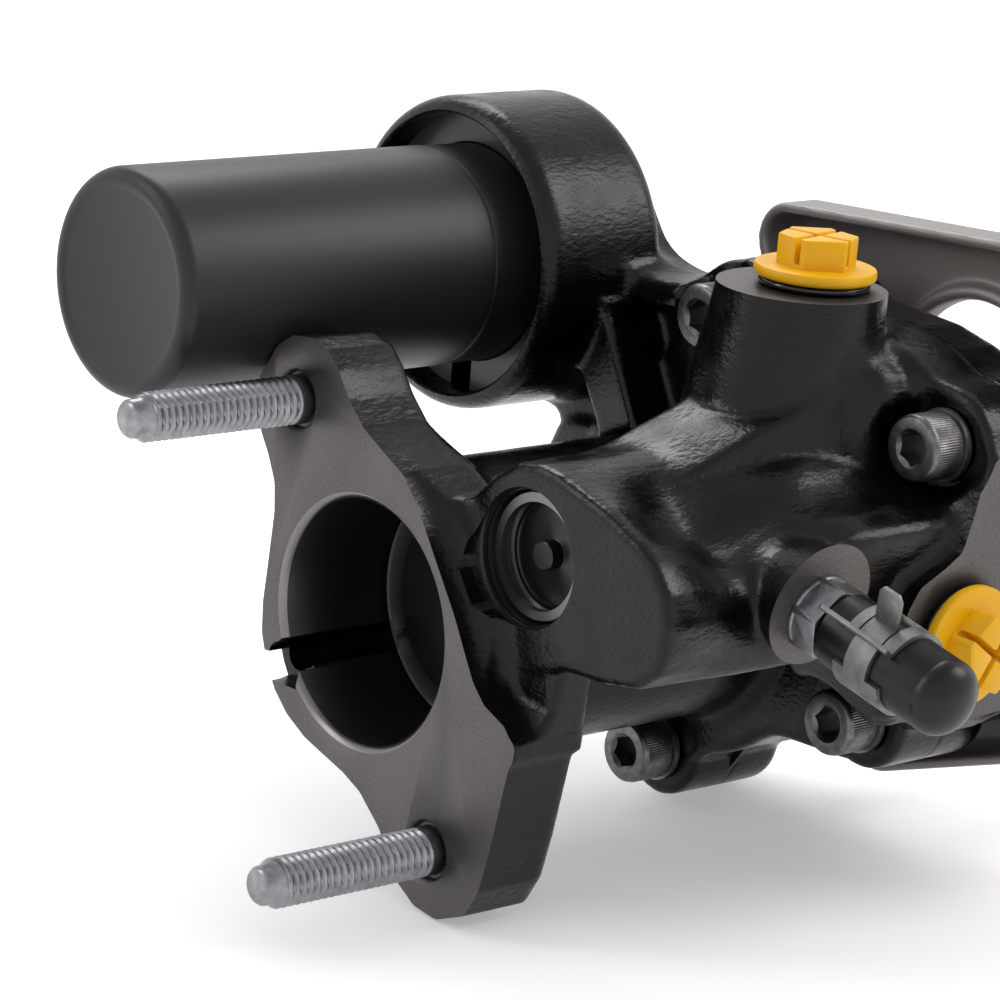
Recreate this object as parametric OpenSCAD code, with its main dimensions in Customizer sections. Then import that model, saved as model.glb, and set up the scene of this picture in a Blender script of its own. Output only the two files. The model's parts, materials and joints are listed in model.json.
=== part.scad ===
// Hydraulic brake booster with a parallel control valve and a pressure canister.
// The main axis is X and points from the master cylinder face to the pedal side.
// The origin is the centre of the master cylinder bore at the machined flange face.

/* [Flange to the master cylinder] */
// thickness of the cast flange
flange_t = 17; // [12:0.5:22]
// radius of the ring of metal around the bore
flange_ring_r = 29.5; // [28:0.5:34]
// radius of the pilot bore for the master cylinder
pilot_r = 23.75; // [20:0.25:25]
// depth of the pilot bore
pilot_depth = 27; // [18:1:34]
// sideways place of a stud from the main axis
stud_y = 24; // [20:0.5:28]
// height of a stud from the main axis
stud_z = 38; // [34:0.5:42]
// radius of a stud
stud_r = 4.76; // [4:0.01:6]
// length of a stud in front of the face
stud_out = 38.9; // [25:0.1:50]
// radius of the lobe around a stud
stud_lobe_r = 13.2; // [11:0.1:15]

/* [Housing] */
// radius of the barrel around the main axis
barrel_r = 29; // [27:0.5:33]
// place of the seats of the cap screws along X
seat_x = 85.2; // [80:0.2:92]
// thickness of the rear flange
rear_t = 12; // [9:0.5:16]
// radius of the bore that guides the power piston
piston_bore_r = 19.05; // [16:0.05:20]
// sideways place of the valve axis
valve_y = -35; // [-38:0.5:-33]
// height of the valve axis
valve_z = 21; // [18:0.5:24]
// radius of the round body around the valve
valve_body_r = 17; // [15.5:0.5:19]
// place of the front face of the valve body
valve_face_x = 9; // [6:0.5:12]
// radius of the lobes around the cap screws
bolt_lobe_r = 10.5; // [9:0.5:12]
// place of the machined side face that carries the side port
side_face_y = -78; // [-82:0.5:-74]

/* [Ports] */
// distance of the top boss in front of the seats of the cap screws
top_boss_in = 11.6; // [6:0.2:16]
// height of the machined top of the top boss
top_boss_z = 67.5; // [62:0.5:72]
// radius of the top of the top boss
top_boss_r = 16.5; // [15:0.5:19]
// radius of both threaded ports
port_r = 8.6; // [7:0.1:9.4]
// distance of the side port in front of the seats of the cap screws
side_port_in = 4.2; // [0:0.2:8]
// height of the side port
side_port_z = 7.5; // [5:0.5:12]
// place of the return nipple along X
nipple_x = 43.8; // [40:0.2:50]
// height of the middle of the machined pad under the return nipple
nipple_z = 19.3; // [15:0.1:23]
// downward tilt of the return nipple in degrees
nipple_tilt = 12; // [0:1:15]
// distance of the nipple below the middle of its pad
nipple_drop = 1.5; // [0:0.1:3]
// radius of the machined seat of the nipple
nipple_pad_r = 11.6; // [10.5:0.1:13]

/* [Pressure canister] */
// outer radius of the canister
can_r = 22.45; // [18:0.05:25]
// sideways place of the canister axis
can_y = 52; // [49:0.5:58]
// height of the canister axis
can_z = 56.5; // [52:0.5:62]
// place of the closed end of the canister
can_end_x = -21.7; // [-30:0.1:-10]
// wall of the canister
can_wall = 2.5; // [2:0.1:3.5]
// outer radius of the ring boss that holds the canister
ring_r = 32.2; // [30:0.2:35]
// place of the front of the ring boss
ring_x = 59; // [55:0.5:63]
// length of the ring boss
ring_len = 31; // [26:0.5:36]

/* [Rear cover and bracket] */
// thickness of the rear cover
cover_t = 14; // [11:0.5:18]
// radius of the threaded neck of the cover
neck_r = 19; // [16:0.5:22]
// thickness of the bracket sheet
sheet_t = 3; // [2:0.25:4]
// depth of the rim of the bracket
rim_depth = 11; // [6:0.5:14]
// radius of the large hole in the bracket
bracket_hole_r = 21; // [12:0.5:21]
// radius of a bracket stud
bracket_stud_r = 4; // [3:0.25:5]
// length of a bracket stud behind the sheet
bracket_stud_len = 28; // [20:1:40]

/* [Moving parts] */
// travel of the power piston
piston_travel = 30; // [15:1:32]
// free travel of the input rod inside the power piston
rod_play = 1; // [0.5:0.1:1.5]
// radius of the input rod
rod_r = 7; // [5:0.25:8]
// length of the input rod behind the bracket
rod_out = 64; // [45:1:90]
// radius of the valve spool
spool_r = 6.95; // [5:0.05:7.5]
// travel of the piston in the canister
can_travel = 24; // [10:1:30]

/* [Output] */
// node to draw, or all

/* [Hidden] */
$fn = 96;
eps = 0.01;
strip_in = 0.3;
fit = 0.05;
gap = 0.3;
rear_x = seat_x + rear_t;
top_boss_x = seat_x - top_boss_in;
side_port_x = seat_x - side_port_in;
gasket_t = 0.8;
// studs are a little thinner where they sit in their holes
stud_neck = 0.3;
stud_free = 0.6;
cover_x = rear_x + gasket_t + cover_t;
plate_x = cover_x + rim_depth;
neck_end_x = plate_x + sheet_t + 13;
ring_end_x = ring_x + ring_len;
valve_len = rear_x - valve_face_x;
// cap screws, one to each lobe of the rear flange
head_r = 6.5;
head_h = 8;
shank_r = 4;
washer_r = 7;
washer_t = 1.2;
bolt_yz = [[-65.6, 42.4], [-51.6, -16], [3.6, -38.7], [36, 11], [-5.7, 54.6]];
bolt_len = rear_t + cover_t - 2;
// canister seat
can_bore_r = can_r + 0.15;
recess_r = ring_r - 3.5;
recess_x = ring_x + 9;
can_back_x = recess_x + 13;
can_in_r = can_r - can_wall;
can_piston_x = 42;
can_spring_r = can_in_r - 4;
can_spring_x = can_end_x + can_wall + 0.2;
can_spring_len = can_piston_x - can_spring_x - 0.2;
// valve bore steps
valve_mouth_r = 12;
valve_plug_r = 11.2;
plug_x = valve_face_x + 6;
plug_len = 13;
liner_r = 9.5;
liner_x = plug_x + plug_len + 2;
liner_end = seat_x - 26;
spool_x = liner_x + 13;
spool_len = liner_end - spool_x - 1;
stem_r = 3;
stem_end = rear_x + 8;
// lever chamber between both bores
slot_w = 14;
chamber_r = 24;
chamber_depth = 9.5;
lever_t = 5;
lever_eye_r = 4.2;
lever_w = 9;
lever_x = rear_x - 1;
pin_r = 2;
lever_angle = atan2(valve_z, valve_y);
lever_span = norm([valve_y, valve_z]);
pin_d = 11;
pin_len = 17;
// power piston
piston_x = 72;
piston_len = lever_x - 5 - piston_x;
fork_len = 9.5;
cheek_t = 3.6;
cheek_z = 6.7;
push_r = 5;
push_tip_x = pilot_depth + 1;
spring_wire = 2;
spring_seat_x = pilot_depth + 3;
spring_len = piston_x - spring_seat_x - 0.2;
spring_r = 15.6;
// input rod
seal_r = 12;
rod_tip_x = lever_x + lever_t / 2 + 0.1;
rod_head_x = rod_tip_x + 5;
eye_r = 6.2;
rod_end_x = plate_x + rod_out;
// bracket in the YZ plane
bracket_hole = [-39, 40];
bracket_tl = [16, 72.5];
bracket_tr = [-80, 80];
bracket_br = [-86, -22];
bracket_bl = [-22, -42];
bracket_hub_r = 38;
bracket_corner_r = 8;
bracket_studs = [[3, 60], [-70, 67], [-76, -12], [-31, -28]];
nut_r = 27;
nut_t = 8;
dish_x = plate_x - 9;
dish_r = nut_r + 2.5;
collar_h = 2;
// shipping plugs
plug_flange_r = 11.8;
plug_flange_t = 2.5;
plug_ring_t = 1.8;
plug_head_r = 7.9;
plug_head_h = 5.8;
plug_slot = 1.6;
top_port = [top_boss_x + 1.8, valve_y - 1.8];
top_boss_root_r = top_boss_r + 6.5;
port_depth = 14;
drill_r = 4;
// return nipple and its cap
cap_r = 7.3;
cap_len = 31;
cap_dome = 5;
hex_r = 7.3;
hex_h = 6.3;
tube_r = 4.6;
tube_len = 27;
tube_hole_r = 2.6;
clamp_at = 6.7;
clamp_w = 11.5;
clamp_t = 0.9;
ear_h = 5.2;
tongue_w = 6;
coat_black = [0.05, 0.05, 0.055];
bare_iron = [0.42, 0.41, 0.40];
zinc = [0.74, 0.75, 0.77];
steel = [0.62, 0.62, 0.63];
yellow = [0.96, 0.76, 0.05];
rubber = [0.03, 0.03, 0.03];

// a round bar along X between two places
module bar_x(x0, x1, r, y = 0, z = 0) {
  translate([x0, y, z])
    rotate([0, 90, 0])
      cylinder(h = x1 - x0, r = r);
}

// a tube along X
module tube_x(x0, x1, r_out, r_in, y = 0, z = 0) {
  difference() {
    bar_x(x0, x1, r_out, y, z);
    bar_x(x0 - 1, x1 + 1, r_in, y, z);
  }
}

// a cone along X
module cone_x(x0, x1, r0, r1, y = 0, z = 0) {
  translate([x0, y, z])
    rotate([0, 90, 0])
      cylinder(h = x1 - x0, r1 = r0, r2 = r1);
}

// a round bar along Z
module bar_z(z0, z1, r, x = 0, y = 0) {
  translate([x, y, z0])
    cylinder(h = z1 - z0, r = r);
}

// a round bar along -Y, from a place on Y outwards
module bar_y(y0, y1, r, x = 0, z = 0) {
  translate([x, y0, z])
    rotate([90, 0, 0])
      cylinder(h = y0 - y1, r = r);
}

// an outline drawn in Y and Z, made thick along X
module slab_x(x0, x1) {
  translate([x0, 0, 0])
    rotate([90, 0, 90])
      linear_extrude(x1 - x0)
        children();
}

// an outline drawn in X and Z, made thick along Y
module slab_y(y0, y1) {
  translate([0, y1, 0])
    rotate([90, 0, 0])
      linear_extrude(y1 - y0)
        children();
}

// a body of revolution around X from a profile of radius and place
module turned_x(y = 0, z = 0) {
  translate([0, y, z])
    rotate([0, 90, 0])
      rotate_extrude()
        children();
}

// places things on the tilted pad of the return nipple, outwards along Z
module on_nipple_pad() {
  translate([nipple_x, side_face_y + 1, nipple_z])
    rotate([90 + nipple_tilt, 0, 0])
      children();
}

// places things on the axis of the return nipple itself
module on_nipple() {
  on_nipple_pad()
    translate([0, -nipple_drop, 0])
      children();
}

// the four corners of a strip that touches two circles from outside
function strip(a, ra, b, rb) =
  let (
    d = norm(b - a),
    t = atan2(b[1] - a[1], b[0] - a[0]),
    s = acos((ra - rb) / d)
  )
  [
    a + ra * [cos(t + s), sin(t + s)],
    b + rb * [cos(t + s), sin(t + s)],
    b + rb * [cos(t - s), sin(t - s)],
    a + ra * [cos(t - s), sin(t - s)]
  ];

// two discs and a strip between them, a little narrower so that its edges cross the discs
module link(a, ra, b, rb) {
  translate(a)
    circle(ra);
  translate(b)
    circle(rb);
  polygon(strip(a, ra - strip_in, b, rb - strip_in));
}

// outline of the flange that meets the master cylinder
module flange_outline() {
  lobe_up = [stud_y - 0.8, stud_z];
  lobe_down = [-stud_y - 2.6, -stud_z + 1];
  difference() {
    union() {
      link([0, 0], flange_ring_r, lobe_up, stud_lobe_r);
      link([0, 0], flange_ring_r, lobe_down, stud_lobe_r);
      polygon([
        [lobe_down[0] - stud_lobe_r + 1, lobe_down[1] + 3],
        [-46, -11], [-43.5, -7.6], [-34, -3.8], [-10, -12]
      ]);
    }
    translate([50.5, 13])
      circle(22.5);
    translate([7.5, -51])
      circle(21);
    translate([-21, 47.5])
      circle(19);
    translate([can_y, can_z])
      circle(can_r + 0.6);
  }
}

// outline of the valve body where it faces the master cylinder
module valve_outline() {
  translate([valve_y, valve_z])
    circle(valve_body_r);
  translate([-64.5, 14.5])
    circle(9.5);
  translate([-63.5, 21.5])
    circle(10.5);
  polygon([
    [valve_y, valve_z + valve_body_r],
    [-39.5, 38], [-55, 35.3], [-63.5, 32], [-74, 21.5],
    [-74, 14.5], [-64.5, 5], [-46, 3.6], [-29, 0], [-20, 15]
  ]);
}

// outline shared by the rear flange and the cover
module rear_outline() {
  circle(38);
  for (p = bolt_yz)
    link([0, 0], 30, p, bolt_lobe_r);
  polygon([
    bolt_yz[4] + [-2, 11], [-17, 66], [-25, 60.2], [-44, 59], [-54, 56.8],
    bolt_yz[0] + [0, 9], [side_face_y, 42], [side_face_y, -8], [-70, -14], bolt_yz[1], [0, 0]
  ]);
}

module top_boss_solid() {
  intersection() {
    translate([top_boss_x, valve_y - 0.5, 30])
      cylinder(h = top_boss_z - 30, r1 = top_boss_root_r, r2 = top_boss_r);
    slab_x(top_boss_x - 40, rear_x)
      translate([valve_y - 40, 0])
        square([80, top_boss_z + 10]);
  }
  // wedge at the foot of the boss
  translate([0, 0, 24])
    linear_extrude(18)
      polygon([
        [24, -44], [50, -31], [seat_x, -31], [seat_x, -50], [60, -52], [31, -51]
      ]);
}

module side_boss_solid() {
  slab_y(side_face_y, -46)
    polygon([
      [66.5, 15], [76, 20.5], [83, 28], [86, 40], [rear_x, 40],
      [rear_x, -8], [74, -8], [67, 0]
    ]);
  slab_y(-70, -46)
    polygon([[67, 0], [74, -14], [rear_x, -14], [rear_x, 0]]);
}

module shoulder_solid() {
  // round shoulder above the side face, cut off at the parting plane
  intersection() {
    translate([rear_x + 4, -22, 45])
      rotate([90, 0, 0])
        cylinder(h = 40, r = 16);
    slab_x(seat_x - 2, rear_x)
      rear_outline();
  }
}

module ring_solid() {
  bar_x(ring_x, ring_end_x, ring_r, can_y, can_z);
  // web from the ring boss to the rear flange
  slab_x(seat_x - 7, rear_x)
    polygon([
      [26, 61], [21, 58.5], [12, 57], [-6, 56], [0, 30], [30, 20], [46, 22], [56, 30], [30, 60]
    ]);
  // two ribs under the ring boss
  for (y = [20, 38])
    slab_x(ring_x + 6, seat_x)
      translate([y - 2.5, 14])
        square([5, 26]);
}

module screw_reliefs() {
  for (p = bolt_yz) {
    bar_x(seat_x - 30, seat_x, washer_r + 1, p[0], p[1]);
    bar_x(seat_x - 1, rear_x + 1, shank_r + 0.4, p[0], p[1]);
  }
}

module lever_slot(x0, x1) {
  translate([x0, 0, 0])
    rotate([lever_angle, 0, 0])
      translate([0, 0, -slot_w / 2])
        cube([x1 - x0, lever_span, slot_w]);
}

module housing_bores() {
  // pilot bore and the step to the piston bore
  bar_x(-1, pilot_depth, pilot_r);
  bar_x(pilot_depth - 1, spring_seat_x, piston_bore_r + 1);
  bar_x(spring_seat_x - 1, rear_x + 1, piston_bore_r);
  // vent channel in the wall of the pilot bore
  bar_x(-1, pilot_depth - 1, 3.2, 23.3, -13.6);
  slab_x(-1, 6)
    translate([19, -17.2])
      square([14, 5]);
  // stud holes
  for (s = [-1, 1]) {
    bar_x(-1, flange_t - 2, stud_r - stud_neck + fit, s * stud_y, s * stud_z);
    cone_x(-eps, 1.5, stud_r + 1.6, stud_r, s * stud_y, s * stud_z);
  }
  // valve bore with its steps
  bar_x(valve_face_x - 1, valve_face_x + 4.8, valve_mouth_r, valve_y, valve_z);
  cone_x(valve_face_x - eps, valve_face_x + 1, valve_mouth_r + 1, valve_mouth_r, valve_y, valve_z);
  bar_x(valve_face_x + 4, liner_x, valve_plug_r + fit, valve_y, valve_z);
  bar_x(liner_x - 1, rear_x + 1, liner_r + fit, valve_y, valve_z);
  // room for the lever between both bores
  lever_slot(lever_x - 3 - piston_travel - 6, rear_x + 1);
  // seat of the canister
  bar_x(ring_x - 1, recess_x, recess_r, can_y, can_z);
  bar_x(recess_x - 1, can_back_x, can_bore_r, can_y, can_z);
  bar_x(can_back_x - 1, can_back_x + 5, can_r - 6, can_y, can_z);
  // ports
  bar_z(top_boss_z - port_depth, top_boss_z + 1, port_r, top_port[0], top_port[1]);
  bar_z(valve_z, top_boss_z - port_depth + 1, drill_r, top_port[0], top_port[1]);
  bar_y(side_face_y + port_depth, side_face_y - 1, port_r, side_port_x, side_port_z);
  bar_y(valve_y - 3, side_face_y + port_depth - 1, drill_r, side_port_x, side_port_z);
  on_nipple()
    translate([0, 0, -14])
      cylinder(h = 15, r = tube_r + fit);
  screw_reliefs();
}

module housing() {
  color(coat_black)
    difference() {
      union() {
        slab_x(0, flange_t)
          flange_outline();
        bar_x(flange_t - 1, rear_x, barrel_r);
        slab_x(valve_face_x, seat_x)
          valve_outline();
        slab_x(seat_x, rear_x)
          rear_outline();
        top_boss_solid();
        side_boss_solid();
        shoulder_solid();
        ring_solid();
        on_nipple_pad()
          translate([0, 0, -20])
            cylinder(h = 20, r = nipple_pad_r);
      }
      housing_bores();
    }
}

module rear_cover() {
  color(coat_black)
    difference() {
      union() {
        slab_x(rear_x + gasket_t, cover_x)
          rear_outline();
        bar_x(cover_x - 1, dish_x, neck_r + 6);
        bar_x(dish_x - 1, neck_end_x, neck_r);
      }
      bar_x(rear_x - 1, rear_x + chamber_depth, chamber_r);
      bar_x(rear_x - 1, rear_x + 10.5, liner_r, valve_y, valve_z);
      lever_slot(rear_x - 1, rear_x + chamber_depth - 1.5);
      bar_x(rear_x, neck_end_x + 1, rod_r + 0.4);
      bar_x(neck_end_x - 7, neck_end_x + 1, seal_r + fit);
      for (p = bolt_yz)
        bar_x(rear_x - 1, cover_x - 1, shank_r + fit, p[0], p[1]);
    }
}

module cover_gasket() {
  color(rubber)
    difference() {
      union() {
        slab_x(rear_x, rear_x + gasket_t)
          rear_outline();
        bar_x(rear_x, rear_x + gasket_t, chamber_r + 6);
      }
      bar_x(rear_x - 1, rear_x + 2, chamber_r + 0.5);
      bar_x(rear_x - 1, rear_x + 2, liner_r + 0.5, valve_y, valve_z);
      lever_slot(rear_x - 1, rear_x + 2);
      for (p = bolt_yz)
        bar_x(rear_x - 1, rear_x + 2, shank_r + 0.4, p[0], p[1]);
    }
}

module bracket_outline(inset = 0) {
  c = bracket_corner_r - inset;
  pts = [bracket_tl, bracket_tr, bracket_br, bracket_bl];
  d = bracket_corner_r;
  a = pts[0] + [-d, -d];
  b = pts[1] + [d, -d];
  e = pts[2] + [d, d];
  f = pts[3] + [-d, d];
  link(a, c, b, c);
  link(b, c, e, c);
  link(e, c, f, c);
  link(f, c, a, c);
  polygon([a, b, e, f]);
  circle(bracket_hub_r - inset);
}

module bracket() {
  color(steel)
    difference() {
      union() {
        difference() {
          union() {
            slab_x(plate_x - rim_depth, plate_x + sheet_t)
              bracket_outline();
            bar_x(plate_x - 1, plate_x + sheet_t, bracket_hub_r - 6);
          }
          union() {
            slab_x(plate_x - rim_depth - 1, plate_x)
              bracket_outline(sheet_t);
            bar_x(plate_x - rim_depth - 1, plate_x, bracket_hub_r - 6);
          }
        }
        // dish round the neck, so that the nut stays below the mounting face
        bar_x(dish_x, plate_x + sheet_t, dish_r + sheet_t);
        // collar drawn from the sheet round the large hole
        bar_x(plate_x - collar_h, plate_x + 1, bracket_hole_r + sheet_t - 0.5, bracket_hole[0], bracket_hole[1]);
      }
      bar_x(dish_x + sheet_t, plate_x + sheet_t + 1, dish_r);
      bar_x(dish_x - 1, dish_x + sheet_t + 1, neck_r + fit);
      bar_x(plate_x - 3, plate_x + sheet_t + 1, bracket_hole_r, bracket_hole[0], bracket_hole[1]);
      for (p = bracket_studs)
        bar_x(plate_x - 2, plate_x + sheet_t + 1, bracket_stud_r + fit, p[0], p[1]);
    }
}

module bracket_stud(p) {
  color(zinc) {
    bar_x(plate_x - 2.5, plate_x, bracket_stud_r + 2, p[0], p[1]);
    bar_x(plate_x - 1, plate_x + sheet_t + 1, bracket_stud_r - stud_neck, p[0], p[1]);
    bar_x(plate_x + sheet_t + stud_free, plate_x + sheet_t + bracket_stud_len, bracket_stud_r, p[0], p[1]);
  }
}

module bracket_nut() {
  color(zinc)
    difference() {
      translate([dish_x + sheet_t, 0, 0])
        rotate([0, 90, 0])
          cylinder(h = nut_t, r = nut_r, $fn = 6);
      bar_x(dish_x, dish_x + sheet_t + nut_t + 1, neck_r + fit);
    }
}

module flange_stud(s) {
  color(zinc)
    turned_x(s * stud_y, s * stud_z)
      polygon([
        [0, -stud_out], [2.9, -stud_out], [3.6, -stud_out + 1], [3.6, -stud_out + 4],
        [stud_r, -stud_out + 5.2], [stud_r, -stud_free], [stud_r - stud_neck, -stud_free],
        [stud_r - stud_neck, flange_t - 2], [0, flange_t - 2]
      ]);
}

module cap_screw(p) {
  head_x = seat_x - washer_t - head_h;
  color(steel)
    difference() {
      union() {
        bar_x(head_x, seat_x - washer_t, head_r, p[0], p[1]);
        bar_x(seat_x - washer_t - 1, seat_x + bolt_len, shank_r, p[0], p[1]);
      }
      translate([head_x - 1, p[0], p[1]])
        rotate([0, 90, 0])
          cylinder(h = 5.2, r = 3.46, $fn = 6);
    }
}

module washer(p) {
  color(steel)
    tube_x(seat_x - washer_t, seat_x, washer_r, shank_r + 0.2, p[0], p[1]);
}

module canister() {
  color([0.13, 0.12, 0.12])
    turned_x(can_y, can_z)
      polygon([
        [0, can_end_x], [can_r - 3, can_end_x], [can_r - 0.9, can_end_x + 0.9],
        [can_r, can_end_x + 3], [can_r, 53], [can_r - 0.7, 53.4], [can_r - 0.7, 54.2],
        [can_r + 0.8, 54.8], [can_r + 0.8, ring_x + 2], [can_r, ring_x + 2.8],
        [can_r, can_back_x], [can_in_r, can_back_x], [can_in_r, can_end_x + can_wall + 1],
        [can_in_r - 1, can_end_x + can_wall], [0, can_end_x + can_wall]
      ]);
}

module canister_clip() {
  color(steel)
    difference() {
      tube_x(recess_x - 2, recess_x, recess_r - fit, can_r + 0.2, can_y, can_z);
      translate([recess_x - 3, can_y - 3, can_z - recess_r - 1])
        cube([4, 6, recess_r - can_r + 4]);
    }
}

module canister_seal() {
  color(rubber)
    tube_x(can_piston_x + 8.1, can_piston_x + 10.4, can_in_r - fit, can_in_r - 1.65, can_y, can_z);
}

module canister_piston() {
  color(steel)
    difference() {
      bar_x(can_piston_x, can_piston_x + 14, can_in_r - fit, can_y, can_z);
      bar_x(can_piston_x + 4, can_piston_x + 15, can_in_r - 4, can_y, can_z);
      tube_x(can_piston_x + 8, can_piston_x + 10.5, can_in_r + 1, can_in_r - 1.7, can_y, can_z);
    }
}

// points of one ring of a coil's section at a given turn
function coil_ring(a, pitch, r, w, n) =
  [for (k = [0 : n - 1])
    let (q = 360 * k / n, rr = r + w * cos(q))
    [pitch * a / 360 + w * sin(q), rr * cos(a), rr * sin(a)]];

// a coil spring of round wire between two places
module coil_x(x0, len, r, w, turns, y = 0, z = 0) {
  n = 8;
  steps = 20;
  rings = turns * steps;
  pitch = (len - 2 * w) / turns;
  pts = [for (i = [0 : rings]) each coil_ring(i * 360 / steps, pitch, r, w, n)];
  sides = [for (i = [0 : rings - 1], k = [0 : n - 1])
    [i * n + k, i * n + (k + 1) % n, (i + 1) * n + (k + 1) % n, (i + 1) * n + k]];
  first = [for (k = [n - 1 : -1 : 0]) k];
  last = [for (k = [0 : n - 1]) rings * n + k];
  translate([x0 + w, y, z])
    polyhedron(points = pts, faces = concat([first], sides, [last]), convexity = 8);
}

module canister_spring() {
  color(steel)
    coil_x(can_spring_x, can_spring_len, can_spring_r, 1.5, 7, can_y, can_z);
}

// a moulded shipping plug that stands along Z from its seat
module plug_shape() {
  difference() {
    union() {
      translate([0, 0, -11])
        cylinder(h = 12 + plug_ring_t, r = port_r - 0.15);
      translate([0, 0, plug_ring_t])
        cylinder(h = plug_flange_t, r = plug_flange_r);
      intersection() {
        translate([0, 0, plug_ring_t + plug_flange_t - 1])
          cylinder(h = plug_head_h + 1, r = plug_head_r, $fn = 6);
        translate([0, 0, plug_ring_t + plug_flange_t - 1])
          cylinder(h = plug_head_h + 1, r = plug_head_r - 0.5);
      }
    }
    for (a = [0, 90])
      rotate([0, 0, a + 30])
        translate([-plug_head_r, -plug_slot / 2, plug_ring_t + plug_flange_t + plug_head_h - 3.5])
          cube([2 * plug_head_r, plug_slot, 4]);
    translate([0, 0, -12])
      cylinder(h = 10, r = port_r - 2);
  }
}

module plug_seal_shape() {
  difference() {
    cylinder(h = plug_ring_t, r = plug_flange_r - 0.6);
    translate([0, 0, -1])
      cylinder(h = plug_ring_t + 2, r = port_r);
  }
}

module at_top_port() {
  translate([top_port[0], top_port[1], top_boss_z])
    children();
}

module at_side_port() {
  translate([side_port_x, side_face_y, side_port_z])
    rotate([90, 0, 0])
      children();
}

module top_plug() {
  color(yellow)
    at_top_port()
      plug_shape();
}

module top_plug_seal() {
  color(rubber)
    at_top_port()
      plug_seal_shape();
}

module side_plug() {
  color(yellow)
    at_side_port()
      plug_shape();
}

module side_plug_seal() {
  color(rubber)
    at_side_port()
      plug_seal_shape();
}

module nipple() {
  color(zinc)
    on_nipple()
      difference() {
        union() {
          translate([0, 0, -10])
            cylinder(h = 12, r = tube_r);
          cylinder(h = hex_h, r = hex_r, $fn = 6);
          translate([0, 0, hex_h - 1])
            cylinder(h = tube_len, r = tube_r);
        }
        translate([0, 0, -11])
          cylinder(h = tube_len + hex_h + 12, r = tube_hole_r);
      }
}

module nipple_cap() {
  color(rubber)
    on_nipple()
      translate([0, 0, hex_h + 0.6])
        difference() {
          union() {
            cylinder(h = cap_len - cap_dome, r = cap_r);
            // flat dome, a quarter of an ellipse turned round
            translate([0, 0, cap_len - cap_dome])
              rotate_extrude()
                polygon(concat(
                  [[0, -1], [cap_r - 0.5, -1]],
                  [for (a = [0 : 10 : 80]) [cap_r * cos(a), cap_dome * sin(a)]],
                  [[0, cap_dome * sin(80)]]
                ));
          }
          translate([0, 0, -1])
            cylinder(h = tube_len + 1, r = tube_r + fit);
        }
}

// an ear that stands out from the band of the clamp at a given angle
module clamp_ear(angle, place, width) {
  rotate([0, 0, angle])
    translate([cap_r + clamp_t / 2, -clamp_t / 2, place])
      cube([ear_h, clamp_t, width]);
}

module cap_clamp() {
  color(zinc)
    on_nipple()
      translate([0, 0, hex_h + clamp_at])
        difference() {
          union() {
            cylinder(h = clamp_w, r = cap_r + fit + clamp_t);
            clamp_ear(144, 0, clamp_w);
            clamp_ear(112, (clamp_w - tongue_w) / 2, tongue_w);
          }
          translate([0, 0, -1])
            cylinder(h = clamp_w + 2, r = cap_r + fit);
        }
}

module valve_plug() {
  color(coat_black)
    difference() {
      union() {
        bar_x(plug_x, plug_x + plug_len, valve_plug_r, valve_y, valve_z);
        bar_x(plug_x - 1.2, plug_x + 1, 3, valve_y, valve_z);
      }
      bar_x(plug_x - 2, plug_x + 3, 1.6, valve_y, valve_z);
      bar_x(plug_x + 5, plug_x + plug_len + 1, 6, valve_y, valve_z);
    }
}

module valve_plug_clip() {
  color(steel)
    tube_x(valve_face_x + 3, plug_x - 1.4, valve_mouth_r - fit, valve_mouth_r - 1.8, valve_y, valve_z);
}

module valve_liner() {
  color(steel)
    difference() {
      bar_x(liner_x, liner_end, liner_r, valve_y, valve_z);
      bar_x(liner_x - 1, liner_end + 1, spool_r + fit, valve_y, valve_z);
    }
}

module valve_spool() {
  color(steel)
    difference() {
      union() {
        bar_x(spool_x, spool_x + spool_len, spool_r, valve_y, valve_z);
        bar_x(spool_x + spool_len - 1, stem_end - 2, stem_r, valve_y, valve_z);
        bar_x(lever_x + lever_t / 2 + 0.8, stem_end - 3, 5.5, valve_y, valve_z);
      }
      for (k = [0, 1])
        tube_x(spool_x + 6 + 9 * k, spool_x + 10 + 9 * k, spool_r + 1, spool_r - 1.5, valve_y, valve_z);
    }
}

module valve_spring() {
  color(steel)
    coil_x(plug_x + 5.2, spool_x - plug_x - 5.4, 4.6, 0.6, 5, valve_y, valve_z);
}

// things that lie along the lever, from the main axis to the valve axis
module on_lever() {
  translate([lever_x, 0, 0])
    rotate([lever_angle, 0, 0])
      children();
}

module lever() {
  color(steel)
    on_lever()
      difference() {
        union() {
          translate([-lever_t / 2, -1, -lever_w / 2])
            cube([lever_t, lever_span + 6, lever_w]);
          translate([0, pin_d, -lever_w / 2])
            cylinder(h = lever_w, r = lever_eye_r);
        }
        translate([-lever_t, lever_span - 0.5, -stem_r - 0.4])
          cube([2 * lever_t, 8, 2 * stem_r + 0.8]);
        translate([-lever_t, lever_span - 0.5, 0])
          rotate([0, 90, 0])
            cylinder(h = 2 * lever_t, r = stem_r + 0.4);
        translate([0, pin_d, -lever_w])
          cylinder(h = 2 * lever_w, r = pin_r + 0.04);
      }
}

module lever_pin() {
  color(steel)
    on_lever()
      translate([0, pin_d, -pin_len / 2])
        cylinder(h = pin_len, r = pin_r);
}

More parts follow.
